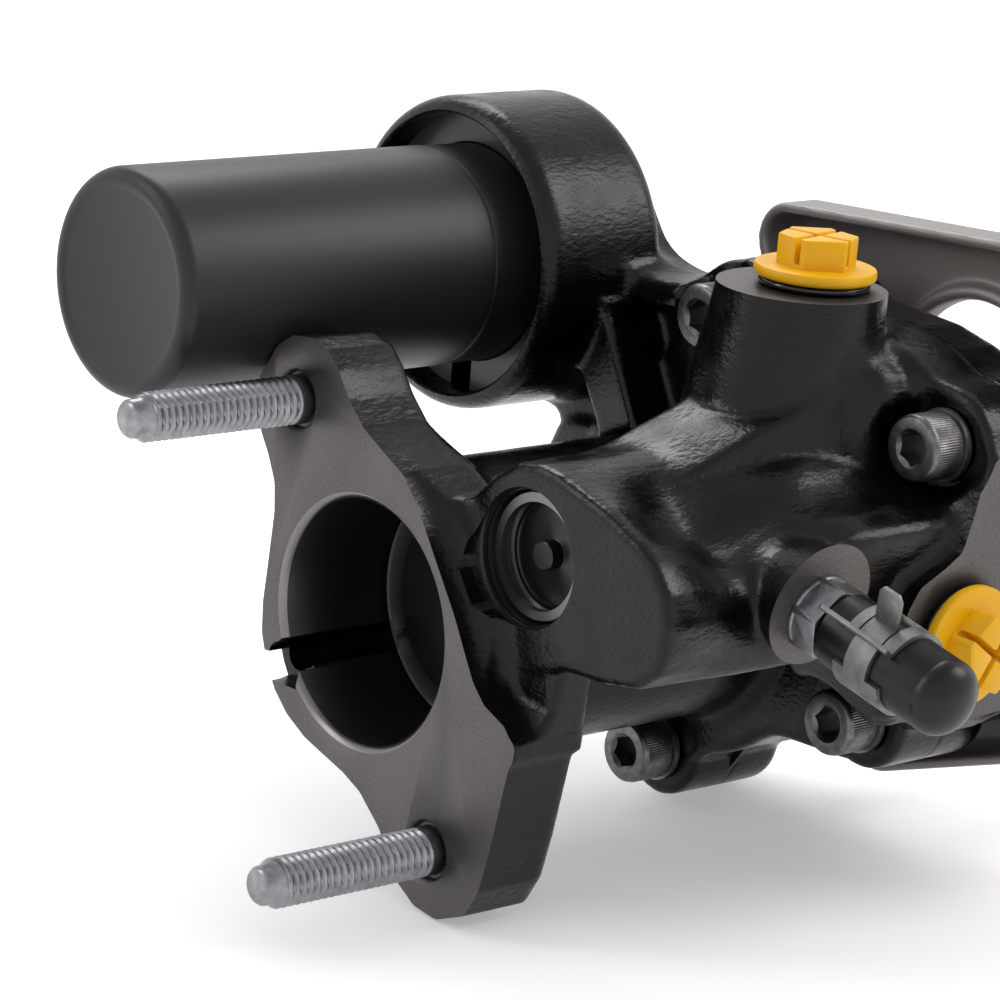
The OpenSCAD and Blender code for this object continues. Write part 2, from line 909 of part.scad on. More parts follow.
module power_piston() {
  color(steel)
    difference() {
      union() {
        bar_x(piston_x, piston_x + piston_len, piston_bore_r - fit);
        // two cheeks that carry the lever pin
        intersection() {
          bar_x(piston_x + piston_len - 1, piston_x + piston_len + fork_len, piston_bore_r - 0.6);
          on_lever()
            for (s = [-1, 1])
              translate([-14, pin_d - 6, s * cheek_z - cheek_t / 2])
                cube([20, 12, cheek_t]);
        }
      }
      on_lever()
        translate([0, pin_d, -12])
          cylinder(h = 24, r = pin_r + 0.02);
      bar_x(piston_x - 1, piston_x + 9, push_r + fit);
      tube_x(piston_x + 8, piston_x + 10.5, piston_bore_r + 1, piston_bore_r - 1.7);
    }
}

module piston_seal() {
  color(rubber)
    tube_x(piston_x + 8.1, piston_x + 10.4, piston_bore_r - fit, piston_bore_r - 1.65);
}

module output_rod() {
  color(zinc)
    union() {
      bar_x(push_tip_x + 4, piston_x + 9, push_r);
      translate([push_tip_x + 5, 0, 0])
        sphere(r = push_r);
    }
}

module return_spring() {
  color(steel)
    coil_x(spring_seat_x + 0.1, spring_len - 0.2, spring_r, spring_wire / 2, 5);
}

module spring_retainer() {
  color(zinc)
    difference() {
      bar_x(pilot_depth, spring_seat_x, piston_bore_r + 1 - fit);
      bar_x(pilot_depth - 3, pilot_depth + 4, push_r + 3);
    }
}

module input_rod() {
  color(zinc)
    difference() {
      union() {
        bar_x(rod_head_x, rod_end_x - 9, rod_r);
        cone_x(rod_tip_x, rod_head_x + eps, 2, rod_r);
        translate([rod_end_x, 7, 0])
          rotate([90, 0, 0])
            cylinder(h = 14, r = 13);
      }
      translate([rod_end_x, 9, 0])
        rotate([90, 0, 0])
          cylinder(h = 18, r = eye_r);
    }
}

module input_seal() {
  color(rubber)
    tube_x(neck_end_x - 7, neck_end_x, seal_r, rod_r + fit);
}

housing();
rear_cover();
cover_gasket();
bracket();
bracket_nut();
bracket_stud(bracket_studs[0]);  // bracket_stud_1
bracket_stud(bracket_studs[1]);  // bracket_stud_2
bracket_stud(bracket_studs[2]);  // bracket_stud_3
bracket_stud(bracket_studs[3]);  // bracket_stud_4
flange_stud(1);  // flange_stud_upper
flange_stud(-1);  // flange_stud_lower
cap_screw(bolt_yz[0]);  // cap_screw_1
cap_screw(bolt_yz[1]);  // cap_screw_2
cap_screw(bolt_yz[2]);  // cap_screw_3
cap_screw(bolt_yz[3]);  // cap_screw_4
cap_screw(bolt_yz[4]);  // cap_screw_5
washer(bolt_yz[0]);  // washer_1
washer(bolt_yz[1]);  // washer_2
washer(bolt_yz[2]);  // washer_3
washer(bolt_yz[3]);  // washer_4
washer(bolt_yz[4]);  // washer_5
canister();
canister_clip();
canister_seal();
canister_piston();
canister_spring();
top_plug();
top_plug_seal();
side_plug();
side_plug_seal();
nipple();
nipple_cap();
cap_clamp();
valve_plug();
valve_plug_clip();
valve_liner();
valve_spool();
valve_spring();
lever();
lever_pin();
power_piston();
piston_seal();
output_rod();
return_spring();
spring_retainer();
input_rod();
input_seal();
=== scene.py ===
# %% [markdown]
# A hydraulic brake booster, dressed in Blender.
# The real object is an iron casting with machined faces, dipped in black coat, with a pressure canister,
# plated studs and screws, yellow shipping plugs, a rubber cap and a pressed steel bracket.
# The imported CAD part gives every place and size. This script builds the finer shapes around it.
# All lengths in the script are millimetres in the frame of the part, and one factor turns them to metres.

import json
import math

import bmesh
import bpy
import numpy as np
import openvdb
from mathutils import Matrix, Vector


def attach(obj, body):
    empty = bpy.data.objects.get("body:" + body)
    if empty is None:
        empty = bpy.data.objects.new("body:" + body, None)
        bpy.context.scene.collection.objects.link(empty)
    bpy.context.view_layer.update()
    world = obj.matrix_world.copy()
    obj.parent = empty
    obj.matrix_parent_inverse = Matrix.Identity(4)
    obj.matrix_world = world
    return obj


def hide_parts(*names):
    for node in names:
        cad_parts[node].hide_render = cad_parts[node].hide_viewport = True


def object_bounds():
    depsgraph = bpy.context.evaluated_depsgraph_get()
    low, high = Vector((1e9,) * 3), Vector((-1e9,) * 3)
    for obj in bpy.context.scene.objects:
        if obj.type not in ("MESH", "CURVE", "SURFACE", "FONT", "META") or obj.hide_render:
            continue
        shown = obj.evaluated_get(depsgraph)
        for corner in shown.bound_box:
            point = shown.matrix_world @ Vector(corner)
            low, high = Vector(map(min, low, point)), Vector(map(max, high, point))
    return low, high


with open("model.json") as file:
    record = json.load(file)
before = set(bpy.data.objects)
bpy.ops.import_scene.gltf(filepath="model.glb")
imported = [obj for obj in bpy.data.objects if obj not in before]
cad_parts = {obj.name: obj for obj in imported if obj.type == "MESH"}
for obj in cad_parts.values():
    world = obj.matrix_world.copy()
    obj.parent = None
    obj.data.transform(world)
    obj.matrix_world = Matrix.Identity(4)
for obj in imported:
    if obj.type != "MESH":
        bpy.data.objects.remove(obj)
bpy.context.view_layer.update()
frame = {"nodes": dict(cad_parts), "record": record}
MM = 0.001  # metres in a millimetre

# %% [markdown]
# Colours are written as sRGB hex values, as a paint chart gives them. Shaders calculate with linear light,
# so one function turns a hex value to linear numbers, and every colour passes through it.

# %% Colour from a hex value


def srgb(code):
    """Linear colour with full alpha from a hex value."""
    parts = [int(code[i:i + 2], 16) / 255 for i in (1, 3, 5)]
    return [p / 12.92 if p <= 0.04045 else ((p + 0.055) / 1.055) ** 2.4 for p in parts] + [1.0]


print("mid grey in linear light:", round(srgb("#808080")[0], 3))

# %% [markdown]
# A finish is a small net of shader nodes. One function adds any node with its settings and links, another
# joins two that are already there. A third starts a finish with its shader, and a texture's scale comes from
# a size in millimetres.

# %% Shader helpers


def add(owner, kind, settings=None, **links):
    """Adds a shader node, sets its sockets or properties, and links sockets to other nodes' outputs."""
    n = owner.node_tree.nodes.new(kind)
    for key, value in (settings or {}).items():
        if isinstance(key, int) or key in n.inputs:
            n.inputs[key].default_value = value
        else:
            setattr(n, key, value)
    for key, source in links.items():
        name = key.replace("_", " ")
        socket = n.inputs[int(key[1:])] if key[0] == "i" and key[1:].isdigit() else n.inputs[name]
        owner.node_tree.links.new(source, socket)
    return n


def finish_named(name, colour, rough, metallic=0.0, **shader):
    """A new material with one Principled shader, and that shader."""
    mat = bpy.data.materials.new(name)
    mat.use_nodes = True
    b = mat.node_tree.nodes["Principled BSDF"]
    b.inputs["Base Color"].default_value = srgb(colour)
    b.inputs["Roughness"].default_value = rough
    b.inputs["Metallic"].default_value = metallic
    for key, value in shader.items():
        b.inputs[key.replace("_", " ")].default_value = value
    print("finish:", name)
    return mat, b


def per_metre(size_mm):
    """Texture scale whose features are about this many millimetres wide."""
    return 1.0 / (size_mm * MM)


def link(owner, source, node, socket):
    """Joins an output to a socket of a node, named or counted."""
    owner.node_tree.links.new(source, node.inputs[socket])


print("texture scale for features of one millimetre:", per_metre(1.0))


# %% [markdown]
# Black coat on a sand casting. The mould sand leaves a leathery skin with ripples of about a millimetre,
# and the dipped coat flows over it and dries glossy, so highlights break up into short streaks and specks.
# One stretched noise gives the ripples, one slow noise the flow of the coat, and small cells give the
# pin bubbles that catch the light.

# %% Material: black dip coat on cast iron
coat, b = finish_named("black dip coat on sand cast iron", "#050506", 0.3, IOR=1.36)
place = add(coat, "ShaderNodeTexCoord")
stretch = add(coat, "ShaderNodeMapping", {"Scale": (0.5, 0.8, 1.2)}, Vector=place.outputs["Object"])
ripple = add(coat, "ShaderNodeTexNoise", {"Scale": per_metre(1.15), "Detail": 2.0, "Roughness": 0.55},
             Vector=stretch.outputs["Vector"])
flow = add(coat, "ShaderNodeTexNoise", {"Scale": per_metre(7.0), "Detail": 1.0},
           Vector=place.outputs["Object"])
cells = add(coat, "ShaderNodeTexVoronoi", {"Scale": per_metre(1.3)}, Vector=place.outputs["Object"])
bubble = add(coat, "ShaderNodeMapRange", {"From Min": 0.12, "From Max": 0.0, "To Min": 0.0, "To Max": 0.5},
             Value=cells.outputs["Distance"])
skin = add(coat, "ShaderNodeMath", {"operation": "ADD"}, i0=ripple.outputs["Fac"],
           i1=bubble.outputs["Result"])
bump = add(coat, "ShaderNodeBump", {"Distance": 0.2 * MM, "Strength": 0.75}, Height=skin.outputs[0])
link(coat, bump.outputs["Normal"], b, "Normal")
gloss = add(coat, "ShaderNodeMapRange", {"From Min": 0.35, "From Max": 0.65, "To Min": 0.22, "To Max": 0.34},
            Value=flow.outputs["Fac"])
link(coat, gloss.outputs["Result"], b, "Roughness")

# %% [markdown]
# A face milled after coating shows bare iron: warm grey and satin. Graphite in the iron leaves fine dark
# pores, closer than the picture can show, so they are drawn about half a millimetre apart.

# %% Material: milled iron
milled, b = finish_named("milled cast iron face", "#625f5e", 0.5, 1.0)
place = add(milled, "ShaderNodeTexCoord")
pores = add(milled, "ShaderNodeTexNoise", {"Scale": per_metre(0.55), "Detail": 2.0},
            Vector=place.outputs["Object"])
cloud = add(milled, "ShaderNodeTexNoise", {"Scale": per_metre(14.0), "Detail": 1.0},
            Vector=place.outputs["Object"])
tint = add(milled, "ShaderNodeMath", {"operation": "MULTIPLY_ADD", 1: 0.5}, i0=cloud.outputs["Fac"],
           i2=pores.outputs["Fac"])
tone = add(milled, "ShaderNodeValToRGB", None, Fac=tint.outputs[0])
tone.color_ramp.elements[0].position, tone.color_ramp.elements[1].position = 0.45, 1.0
tone.color_ramp.elements[0].color = srgb("#595655")
tone.color_ramp.elements[1].color = srgb("#6b6867")
link(milled, tone.outputs["Color"], b, "Base Color")
bump = add(milled, "ShaderNodeBump", {"Distance": 0.03 * MM, "Strength": 0.5}, Height=pores.outputs["Fac"])
link(milled, bump.outputs["Normal"], b, "Normal")

# %% [markdown]
# Bores are turned before coating and take only a thin film of coat, so they are dark, smooth and satin. The
# tool leaves rings a quarter of a millimetre apart. They are too fine to show, so they are drawn 5 mm apart.

# %% Material: coated bore wall


def rings_every(gap_mm):
    """Scale of a wave texture with rings this far apart. Its wave runs at twenty times the scale."""
    return 2 * math.pi / (20 * gap_mm * MM)


bored, b = finish_named("turned bore under thin black coat", "#131315", 0.3, 0.0, IOR=1.5)
place = add(bored, "ShaderNodeTexCoord")
rings = add(bored, "ShaderNodeTexWave", {"bands_direction": "X", "Scale": rings_every(5.03)},
            Vector=place.outputs["Object"])
bump = add(bored, "ShaderNodeBump", {"Distance": 0.015 * MM, "Strength": 0.5}, Height=rings.outputs["Fac"])
link(bored, bump.outputs["Normal"], b, "Normal")

# %% [markdown]
# Bare turned steel, such as the lips of the valve bore and the hidden moving parts: bright, with rings from
# the tool, which are drawn 4 mm apart to show at all.

# %% Material: turned steel
turned_steel, b = finish_named("turned steel", "#7c7a79", 0.32, 1.0)
place = add(turned_steel, "ShaderNodeTexCoord")
rings = add(turned_steel, "ShaderNodeTexWave", {"bands_direction": "X", "Scale": rings_every(3.77),
                                                "Distortion": 0.3}, Vector=place.outputs["Object"])
bump = add(turned_steel, "ShaderNodeBump", {"Distance": 0.01 * MM, "Strength": 0.4},
           Height=rings.outputs["Fac"])
link(turned_steel, bump.outputs["Normal"], b, "Normal")

# %% [markdown]
# The canister is drawn steel with a satin dark coat, brown rather than blue.
# Its sheen is soft and wide, with a very fine grain in the coat.

# %% Material: satin canister coat
satin, b = finish_named("satin dark coat on drawn steel", "#2b2727", 0.42, 0.3, IOR=1.45)
place = add(satin, "ShaderNodeTexCoord")
fine = add(satin, "ShaderNodeTexNoise", {"Scale": per_metre(0.6), "Detail": 2.0},
           Vector=place.outputs["Object"])
bump = add(satin, "ShaderNodeBump", {"Distance": 0.01 * MM, "Strength": 0.3}, Height=fine.outputs["Fac"])
link(satin, bump.outputs["Normal"], b, "Normal")
soft_sheen = add(satin, "ShaderNodeMapRange", {"To Min": 0.38, "To Max": 0.46}, Value=fine.outputs["Fac"])
link(satin, soft_sheen.outputs["Result"], b, "Roughness")

# %% [markdown]
# Zinc plate on studs is bright and slightly blotchy. Screws have a darker grey plate, and spring bands a
# dull one. All are steel plated in a drum, so one function gives them blotches of a few millimetres between
# two tones.

# %% Materials: zinc plate and screw steel


def plated(name, dark, light, rough, spot_mm):
    """Plated steel with blotches of about this size between two tones."""
    mat, b = finish_named(name, light, rough, 1.0)
    place = add(mat, "ShaderNodeTexCoord")
    spots = add(mat, "ShaderNodeTexNoise", {"Scale": per_metre(spot_mm), "Detail": 4.0},
                Vector=place.outputs["Object"])
    tone = add(mat, "ShaderNodeValToRGB", None, Fac=spots.outputs["Fac"])
    tone.color_ramp.elements[0].position = 0.3
    tone.color_ramp.elements[1].position = 0.7
    tone.color_ramp.elements[0].color = srgb(dark)
    tone.color_ramp.elements[1].color = srgb(light)
    link(mat, tone.outputs["Color"], b, "Base Color")
    bump = add(mat, "ShaderNodeBump", {"Distance": 0.01 * MM, "Strength": 0.3}, Height=spots.outputs["Fac"])
    link(mat, bump.outputs["Normal"], b, "Normal")
    return mat


zinc = plated("zinc plated steel", "#7f8084", "#9c9da2", 0.32, 2.0)
screw_steel = plated("grey plated screw steel", "#605f5d", "#7d7b79", 0.4, 1.5)
nut_steel = plated("bright plated nut steel", "#76777a", "#929497", 0.36, 1.8)
band_steel = plated("dull zinc spring steel", "#72736f", "#8d8f8c", 0.5, 2.5)

# %% [markdown]
# The bracket is pressed from steel sheet. Rolling leaves faint lines along the sheet, and the plate on it is
# satin and a little warm, so it gives wide soft reflections.

# %% Material: rolled sheet
sheet_steel, b = finish_named("plated rolled sheet", "#928d8b", 0.48, 0.4)
place = add(sheet_steel, "ShaderNodeTexCoord")
stretch = add(sheet_steel, "ShaderNodeMapping", {"Scale": (1.0, 0.03, 1.0)}, Vector=place.outputs["Object"])
lines = add(sheet_steel, "ShaderNodeTexNoise", {"Scale": per_metre(0.5), "Detail": 2.0},
            Vector=stretch.outputs["Vector"])
bump = add(sheet_steel, "ShaderNodeBump", {"Distance": 0.008 * MM, "Strength": 0.4},
           Height=lines.outputs["Fac"])
link(sheet_steel, bump.outputs["Normal"], b, "Normal")

# %% [markdown]
# Shipping plugs are moulded polyethylene: strong yellow, waxy, with a little light passing through.

# %% Material: plug plastic
plug_yellow, b = finish_named("moulded yellow polyethylene", "#ebb000", 0.42, 0.0, IOR=1.42,
                              Subsurface_Weight=0.12, Subsurface_Scale=0.002)
b.inputs["Subsurface Radius"].default_value = (1.0, 0.7, 0.2)
place = add(plug_yellow, "ShaderNodeTexCoord")
flow = add(plug_yellow, "ShaderNodeTexNoise", {"Scale": per_metre(3.0), "Detail": 1.0},
           Vector=place.outputs["Object"])
bump = add(plug_yellow, "ShaderNodeBump", {"Distance": 0.03 * MM, "Strength": 0.4},
           Height=flow.outputs["Fac"])
link(plug_yellow, bump.outputs["Normal"], b, "Normal")

# %% [markdown]
# The cap is moulded rubber, filled with carbon black. Its skin is matt to satin and picks up fine dust.

# %% Material: cap rubber
cap_rubber, b = finish_named("moulded black rubber", "#060607", 0.33, 0.0, IOR=1.4)
place = add(cap_rubber, "ShaderNodeTexCoord")
dust = add(cap_rubber, "ShaderNodeTexNoise", {"Scale": per_metre(0.7), "Detail": 2.0},
           Vector=place.outputs["Object"])
bump = add(cap_rubber, "ShaderNodeBump", {"Distance": 0.012 * MM, "Strength": 0.4},
           Height=dust.outputs["Fac"])
link(cap_rubber, bump.outputs["Normal"], b, "Normal")

# %% [markdown]
# Seals are the same kind of rubber, but wet with oil, so they shine and the oil lies in smears.

# %% Material: oiled seal rubber
seal_rubber, b = finish_named("oiled seal rubber", "#060606", 0.12, 0.0, IOR=1.5)
place = add(seal_rubber, "ShaderNodeTexCoord")
smear = add(seal_rubber, "ShaderNodeTexNoise", {"Scale": per_metre(2.0)}, Vector=place.outputs["Object"])
bump = add(seal_rubber, "ShaderNodeBump", {"Distance": 0.02 * MM, "Strength": 0.4},
           Height=smear.outputs["Fac"])
link(seal_rubber, bump.outputs["Normal"], b, "Normal")
print("materials:", len(bpy.data.materials))

# %% [markdown]
# The housing is one iron casting. A foundry pattern has no sharp inside corners: every form runs into the
# next with a fillet, so the metal fills the mould and doesn't crack. The way chosen here is a distance
# field: each form is a formula that gives the distance to its surface, and a soft minimum joins two forms
# with a fillet of a chosen radius. The field is turned to a mesh once. Machined faces and bores are then cut
# with booleans, as the machine shop cuts the raw casting.

# %% Grid, fillets and rods


def set_grid(low, high, step):
    """Lays a grid of points, in millimetres, on which the next fields are worked out."""
    global STEP, LOW, GZ, X, Y, Z
    STEP, LOW = step, low
    gx, gy, GZ = [np.arange(a, b, step, dtype=np.float32) for a, b in zip(low, high)]
    X, Y, Z = gx[:, None, None], gy[None, :, None], GZ[None, None, :]
    print("grid points:", len(gx), len(gy), len(GZ))


def volume_of(field, what):
    """Prints the volume inside a field."""
    print(what, "volume in cm3:", round(float((field < 0).sum()) * STEP ** 3 / 1000, 1))


def fuse(a, b, radius):
    """Joins two fields with a fillet."""
    k = 1.2 * radius
    h = np.maximum(k - np.abs(a - b), 0)
    return np.minimum(a, b) - h * h / (4 * k)


def keep(a, b, radius=0.4):
    """Keeps what lies in both fields, with a rounded edge."""
    return -fuse(-a, -b, radius)


def cut_field(a, b, radius=0.4):
    """Takes the second form out of the first."""
    return keep(a, -b, radius)


def rod_x(x0, x1, r, y, z, edge=0.4):
    """A round bar along X."""
    return keep(np.hypot(Y - y, Z - z) - r, np.abs(X - (x0 + x1) / 2) - (x1 - x0) / 2, edge)


print("a fillet of 3 mm fills the corner by", round(-float(fuse(0.0, 0.0, 3.0)), 2), "mm")


# %% [markdown]
# A pattern maker draws a web or a flange as an outline and saws it from a board. Here the outline gives a
# distance in its own plane, and two more planes make it a slab.

# %% Outlines and slabs


def soft(outline):
    """Rounds an outline by cutting its corners off."""
    p = np.array(outline, float)
    q = np.roll(p, -1, axis=0)
    return np.stack([0.75 * p + 0.25 * q, 0.25 * p + 0.75 * q], axis=1).reshape(-1, 2)


def flat_field(outline, u, v):
    """Signed distance to a closed outline in the plane of two grid axes."""
    p = np.array(outline, np.float32)
    best = np.full(np.broadcast(u, v).shape, 1e9, np.float32)
    inside = np.zeros(best.shape, bool)
    for a, b in zip(p, np.roll(p, -1, axis=0)):
        e = b - a
        wu, wv = u - a[0], v - a[1]
        t = np.clip((wu * e[0] + wv * e[1]) / max(float(e @ e), 1e-9), 0, 1)
        best = np.minimum(best, np.hypot(wu - e[0] * t, wv - e[1] * t))
        crosses = ((a[1] > v) != (b[1] > v)) & (u < e[0] * (v - a[1]) / (e[1] if e[1] else 1e-9) + a[0])
        inside ^= crosses
    return np.where(inside, -best, best)


def slab_x(outline, x0, x1, edge=0.4):
    """An outline in Y and Z, made thick along X."""
    return keep(flat_field(outline, Y, Z), np.abs(X - (x0 + x1) / 2) - (x1 - x0) / 2, edge)


def slab_y(outline, y0, y1, edge=0.4):
    """An outline in X and Z, made thick along Y."""
    return keep(flat_field(outline, X, Z), np.abs(Y - (y0 + y1) / 2) - (y1 - y0) / 2, edge)


print("points of a square after rounding:", len(soft([(0, 0), (1, 0), (1, 1), (0, 1)])))


# %% [markdown]
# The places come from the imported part, so both models agree: the middle of a CAD piece's box gives the axis
# on which it sits, and the mounts in the record give the radii that other parts have to fit.

# %% Places and sizes


def middle(node):
    """Sideways place and height of the middle of a CAD piece, in millimetres."""
    o = frame["nodes"][node]
    box = np.array([o.matrix_world @ Vector(c) for c in o.bound_box]) / MM
    return tuple(round(float(v), 1) for v in (box.min(axis=0) + box.max(axis=0))[1:] / 2)


mounts = {m["name"]: m["dims"] for m in frame["record"]["mounts"]}
PILOT_R, STUD_R = mounts["pilot_bore"]["r_mm"], mounts["upper_stud"]["r_mm"]
VALVE, CAN = middle("valve_plug"), middle("canister")
STUDS = [middle(f"flange_stud_{k}") for k in ("upper", "lower")]
BOLTS = [middle(f"cap_screw_{k}") for k in range(1, 6)]
SEAT, REAR, COVER = 85.2, 97.2, 112.0  # seats of the cap screws, rear face and back of the cover, along X
BARREL_R, PISTON_R, RING_R, CAN_R, PORT_R = 29.0, 19.05, 32.2, 22.45, 8.6
TOP, TOP_Z = (75.4, -36.8), 67.5  # axis of the top port in X and Y, and the height of its machined face
SIDE, SIDE_Y = (81.0, 7.5), -78.0  # axis of the side port in X and Z, and the place of its machined face
VENT, GROOVE = (23.3, -13.6), (21.4, -12.5)  # slot at the edge of the pilot bore
TILT = math.radians(12.0)
NIPPLE_DIR = np.array([0.0, -math.cos(TILT), -math.sin(TILT)])
PAD_AT = np.array([43.8, -77.0, 19.3])
NIPPLE_AT = PAD_AT + 1.5 * np.array([0.0, math.sin(TILT), -math.cos(TILT)])
print("valve", VALVE, "canister", CAN, "studs", STUDS, "screws", BOLTS, "radii", PILOT_R, STUD_R)

# %% [markdown]
# Outlines in Y and Z, as someone sees them who looks along the main bore. They have only the points that the
# shape needs. The valve body has three: a round nose, a slimmer back behind it, and a wider one under the
# top boss.

# %% Outlines of the casting
FLANGE = [(26.1, 50.2), (33.4, 45.2), (35.5, 40.4), (34.0, 29.6), (31.2, 25.6), (28.6, 20.5), (28.0, 14.8),
          (28.8, 4.6), (29.6, -3.8), (29.3, -10), (27.2, -15.5), (24, -20.3), (19.8, -24), (13.8, -27),
          (1.4, -30.4), (-3.8, -32.6), (-10.2, -37.8), (-16.4, -46.4), (-22.1, -49.6), (-28.6, -50.2),
          (-36.4, -46.9), (-39.8, -41), (-42, -32), (-46, -10.8), (-43, -7.7), (-37, -5.4), (-33.5, -2),
          (-30.4, 3), (-26.8, 9), (-19.9, 18.5), (-14.5, 26), (-9.5, 31.4), (-3.3, 34.2), (3.1, 37.4),
          (8, 41.8), (11.5, 46.4), (15.3, 49.8), (20, 51)]
VALVE_FACE = [(-24, 34), (-30, 37.9), (-36, 39.1), (-41, 38.6), (-54.7, 35.1), (-64.5, 31.4), (-69, 28.4),
              (-72.4, 24), (-73.9, 18.4), (-73.4, 12.6), (-71.6, 8.4), (-67.4, 5.1), (-58, 3.4), (-46, 2.6),
              (-29, -2), (-18, 12), (-18, 28)]
VALVE_BACK = [(-18, 28), (-24, 36), (-30, 38.4), (-36, 38.8), (-42, 37.6), (-47, 34.4), (-51, 30.6),
              (-54.5, 27.2), (-58.5, 25.4), (-63, 24.6), (-67.5, 22.4), (-70.2, 19), (-71, 17), (-71, 8.6),
              (-69.6, 5.4), (-66, 4.4), (-46, 2.6), (-29, -2), (-18, 12)]
VALVE_WIDE = [(-18, 28), (-24, 36), (-30, 38.8), (-38, 39.6), (-48, 39.6), (-56, 38.6), (-63, 35.2),
              (-70, 31.6), (-73.6, 30), (-74.2, 27), (-72.4, 18), (-71, 8.6), (-69.6, 5.4), (-66, 4.4),
              (-46, 2.6), (-29, -2), (-18, 12)]
REAR_EDGE = [(-7.7, 65.6), (-17, 66), (-25, 60.2), (-44, 59), (-54, 56.8), (-65.6, 51.4), (-78, 42),
             (-78, -8), (-70, -14), (-51.6, -16), (0, 0)]
print("points of the outlines:", [len(p) for p in (FLANGE, VALVE_FACE, VALVE_BACK, VALVE_WIDE, REAR_EDGE)])

# %% [markdown]
# The valve body starts as a bulging nose round its bore and sinks to a slimmer body behind it,
# so its field slides from one outline to another along X. A gusset under the nose stiffens the flange.

# %% Casting: flange, barrel and valve body


def ease(start, end):
    """A share that goes softly from nought to one between two places along X."""
    share = np.clip((X - start) / (end - start), 0, 1)
    return share * share * (3 - 2 * share)


set_grid((-2.0, -81.0, -54.0), (99.0, 87.0, 91.0), 0.72)
body = fuse(slab_x(FLANGE, -6, 17, edge=2.6), rod_x(8, 97, BARREL_R, 0, 0), 7.0)
slide, widen = ease(11, 33), ease(28, 60)
form = flat_field(soft(VALVE_BACK), Y, Z) * (1 - widen) + flat_field(soft(VALVE_WIDE), Y, Z) * widen
form = flat_field(VALVE_FACE, Y, Z) * (1 - slide) + form * slide
form = keep(form, np.abs(X - 50) - 41, 1.3)
body = fuse(body, form, 4.0)
form = slab_y([(0, -14), (0, -11), (6, -8.5), (8.6, -5.5), (9.6, 1), (10.5, 4.4), (13.4, 4.4), (18.5, 1.2),
               (17.6, -8), (17, -14)], -46.3, -33, edge=1.2)
body = fuse(body, form, 1.5)
volume_of(body, "flange, barrel and valve body")

# %% [markdown]
# The top boss is a cone, as a pattern needs draft to leave the sand, and it leans a little at its foot.
# A low spur climbs it from the valve body and covers a drilling. Three planes give its top and sides.

# %% Casting: top boss and ridge
levels = [30, 43, 53, 61, TOP_Z, 80]
lean = np.interp(GZ, levels, [3.6, 2.5, 1.6, 0.5, 0, 0]).astype(np.float32)
radius = np.interp(GZ, levels, [20.0, 18.5, 17.6, 17.0, 16.5, 16.3]).astype(np.float32)
form = np.hypot(X - 73.6 + 0.7576 * lean, Y + 35.5 - 0.6527 * lean) - radius
form = keep(form, np.abs(Z - 51) - 22, 0.6)
body = fuse(body, form, 3.0)
top = -0.324 * (X - 35) + 0.946 * (Z - 38.6)
left = -0.431 * (X - 36) - 0.146 * (Y + 46) + 0.890 * (Z - 36)
near = -0.263 * (X - 36) - 0.930 * (Y + 46) + 0.254 * (Z - 36)
form = keep(keep(top, left, 0.8), near, 0.9)
form = keep(keep(form, Y + 25.5, 2.0), keep(X - 78, keep(26 - Z, 27 - X, 0.5), 1.0), 1.0)
body = fuse(body, form, 1.4)
volume_of(body, "with the top boss")

# %% [markdown]
# The nipple boss flares into the side of the valve body and is tilted a little downwards.

# %% Casting: nipple boss


def rod_between(a, b, r, r2):
    """A bar between two points that goes from one radius to another."""
    a, b = np.array(a, float), np.array(b, float)
    e = b - a
    t = np.clip(((X - a[0]) * e[0] + (Y - a[1]) * e[1] + (Z - a[2]) * e[2]) / float(e @ e), 0, 1)
    rr = r + (r2 - r) * t
    return np.sqrt((X - a[0] - e[0] * t) ** 2 + (Y - a[1] - e[1] * t) ** 2 + (Z - a[2] - e[2] * t) ** 2) - rr


form = rod_between(PAD_AT - 15 * NIPPLE_DIR, PAD_AT + 3 * NIPPLE_DIR, 4.5, 13.8)
body = fuse(body, form, 3.0)
volume_of(body, "with the nipple boss")

# %% [markdown]
# The rear flange carries five screw lobes. A broad shoulder over the side face joins it to the top boss.

# %% Casting: rear flange, side boss and shoulder


def rear_field():
    """The outline of the rear flange, which the cover shares."""
    d = np.minimum(np.hypot(Y, Z) - 38, flat_field(REAR_EDGE, Y, Z))
    for y, z in BOLTS:
        along = np.clip((Y * y + Z * z) / (y * y + z * z), 0, 1)
        d = fuse(d, np.hypot(Y - y * along, Z - z * along) - 30 + 19.5 * along, 3.0)
    return d


body = fuse(body, keep(rear_field(), np.abs(X - 93) - (93 - SEAT), 2.0), 4.0)
form = slab_y([(66.5, 15), (69.5, 19.4), (76, 22.6), (79.8, 25), (81.8, 31), (83, 36), (88, 40), (110, 40),
               (110, -6), (74, -8), (67, 0)], SIDE_Y - 3, -46, edge=1.0)
body = fuse(body, form, 3.0)
form = slab_y([(68, 2), (75, -12), (110, -12), (110, 2)], -69, -46, edge=3.0)
body = fuse(body, form, 4.0)
form = slab_x([(-14, 59.7), (-42, 59.7), (-47, 58.7), (-52, 56.8), (-56, 53.5), (-58, 49), (-58, 30),
               (-14, 30)], 74, REAR + 4, edge=4.5)
body = fuse(body, form, 3.0)
volume_of(body, "with the rear flange and shoulder")

# %% [markdown]
# The ring boss holds the canister. A thin web with a thick top edge and a stiffening bar tie it to the rear
# flange and the barrel.

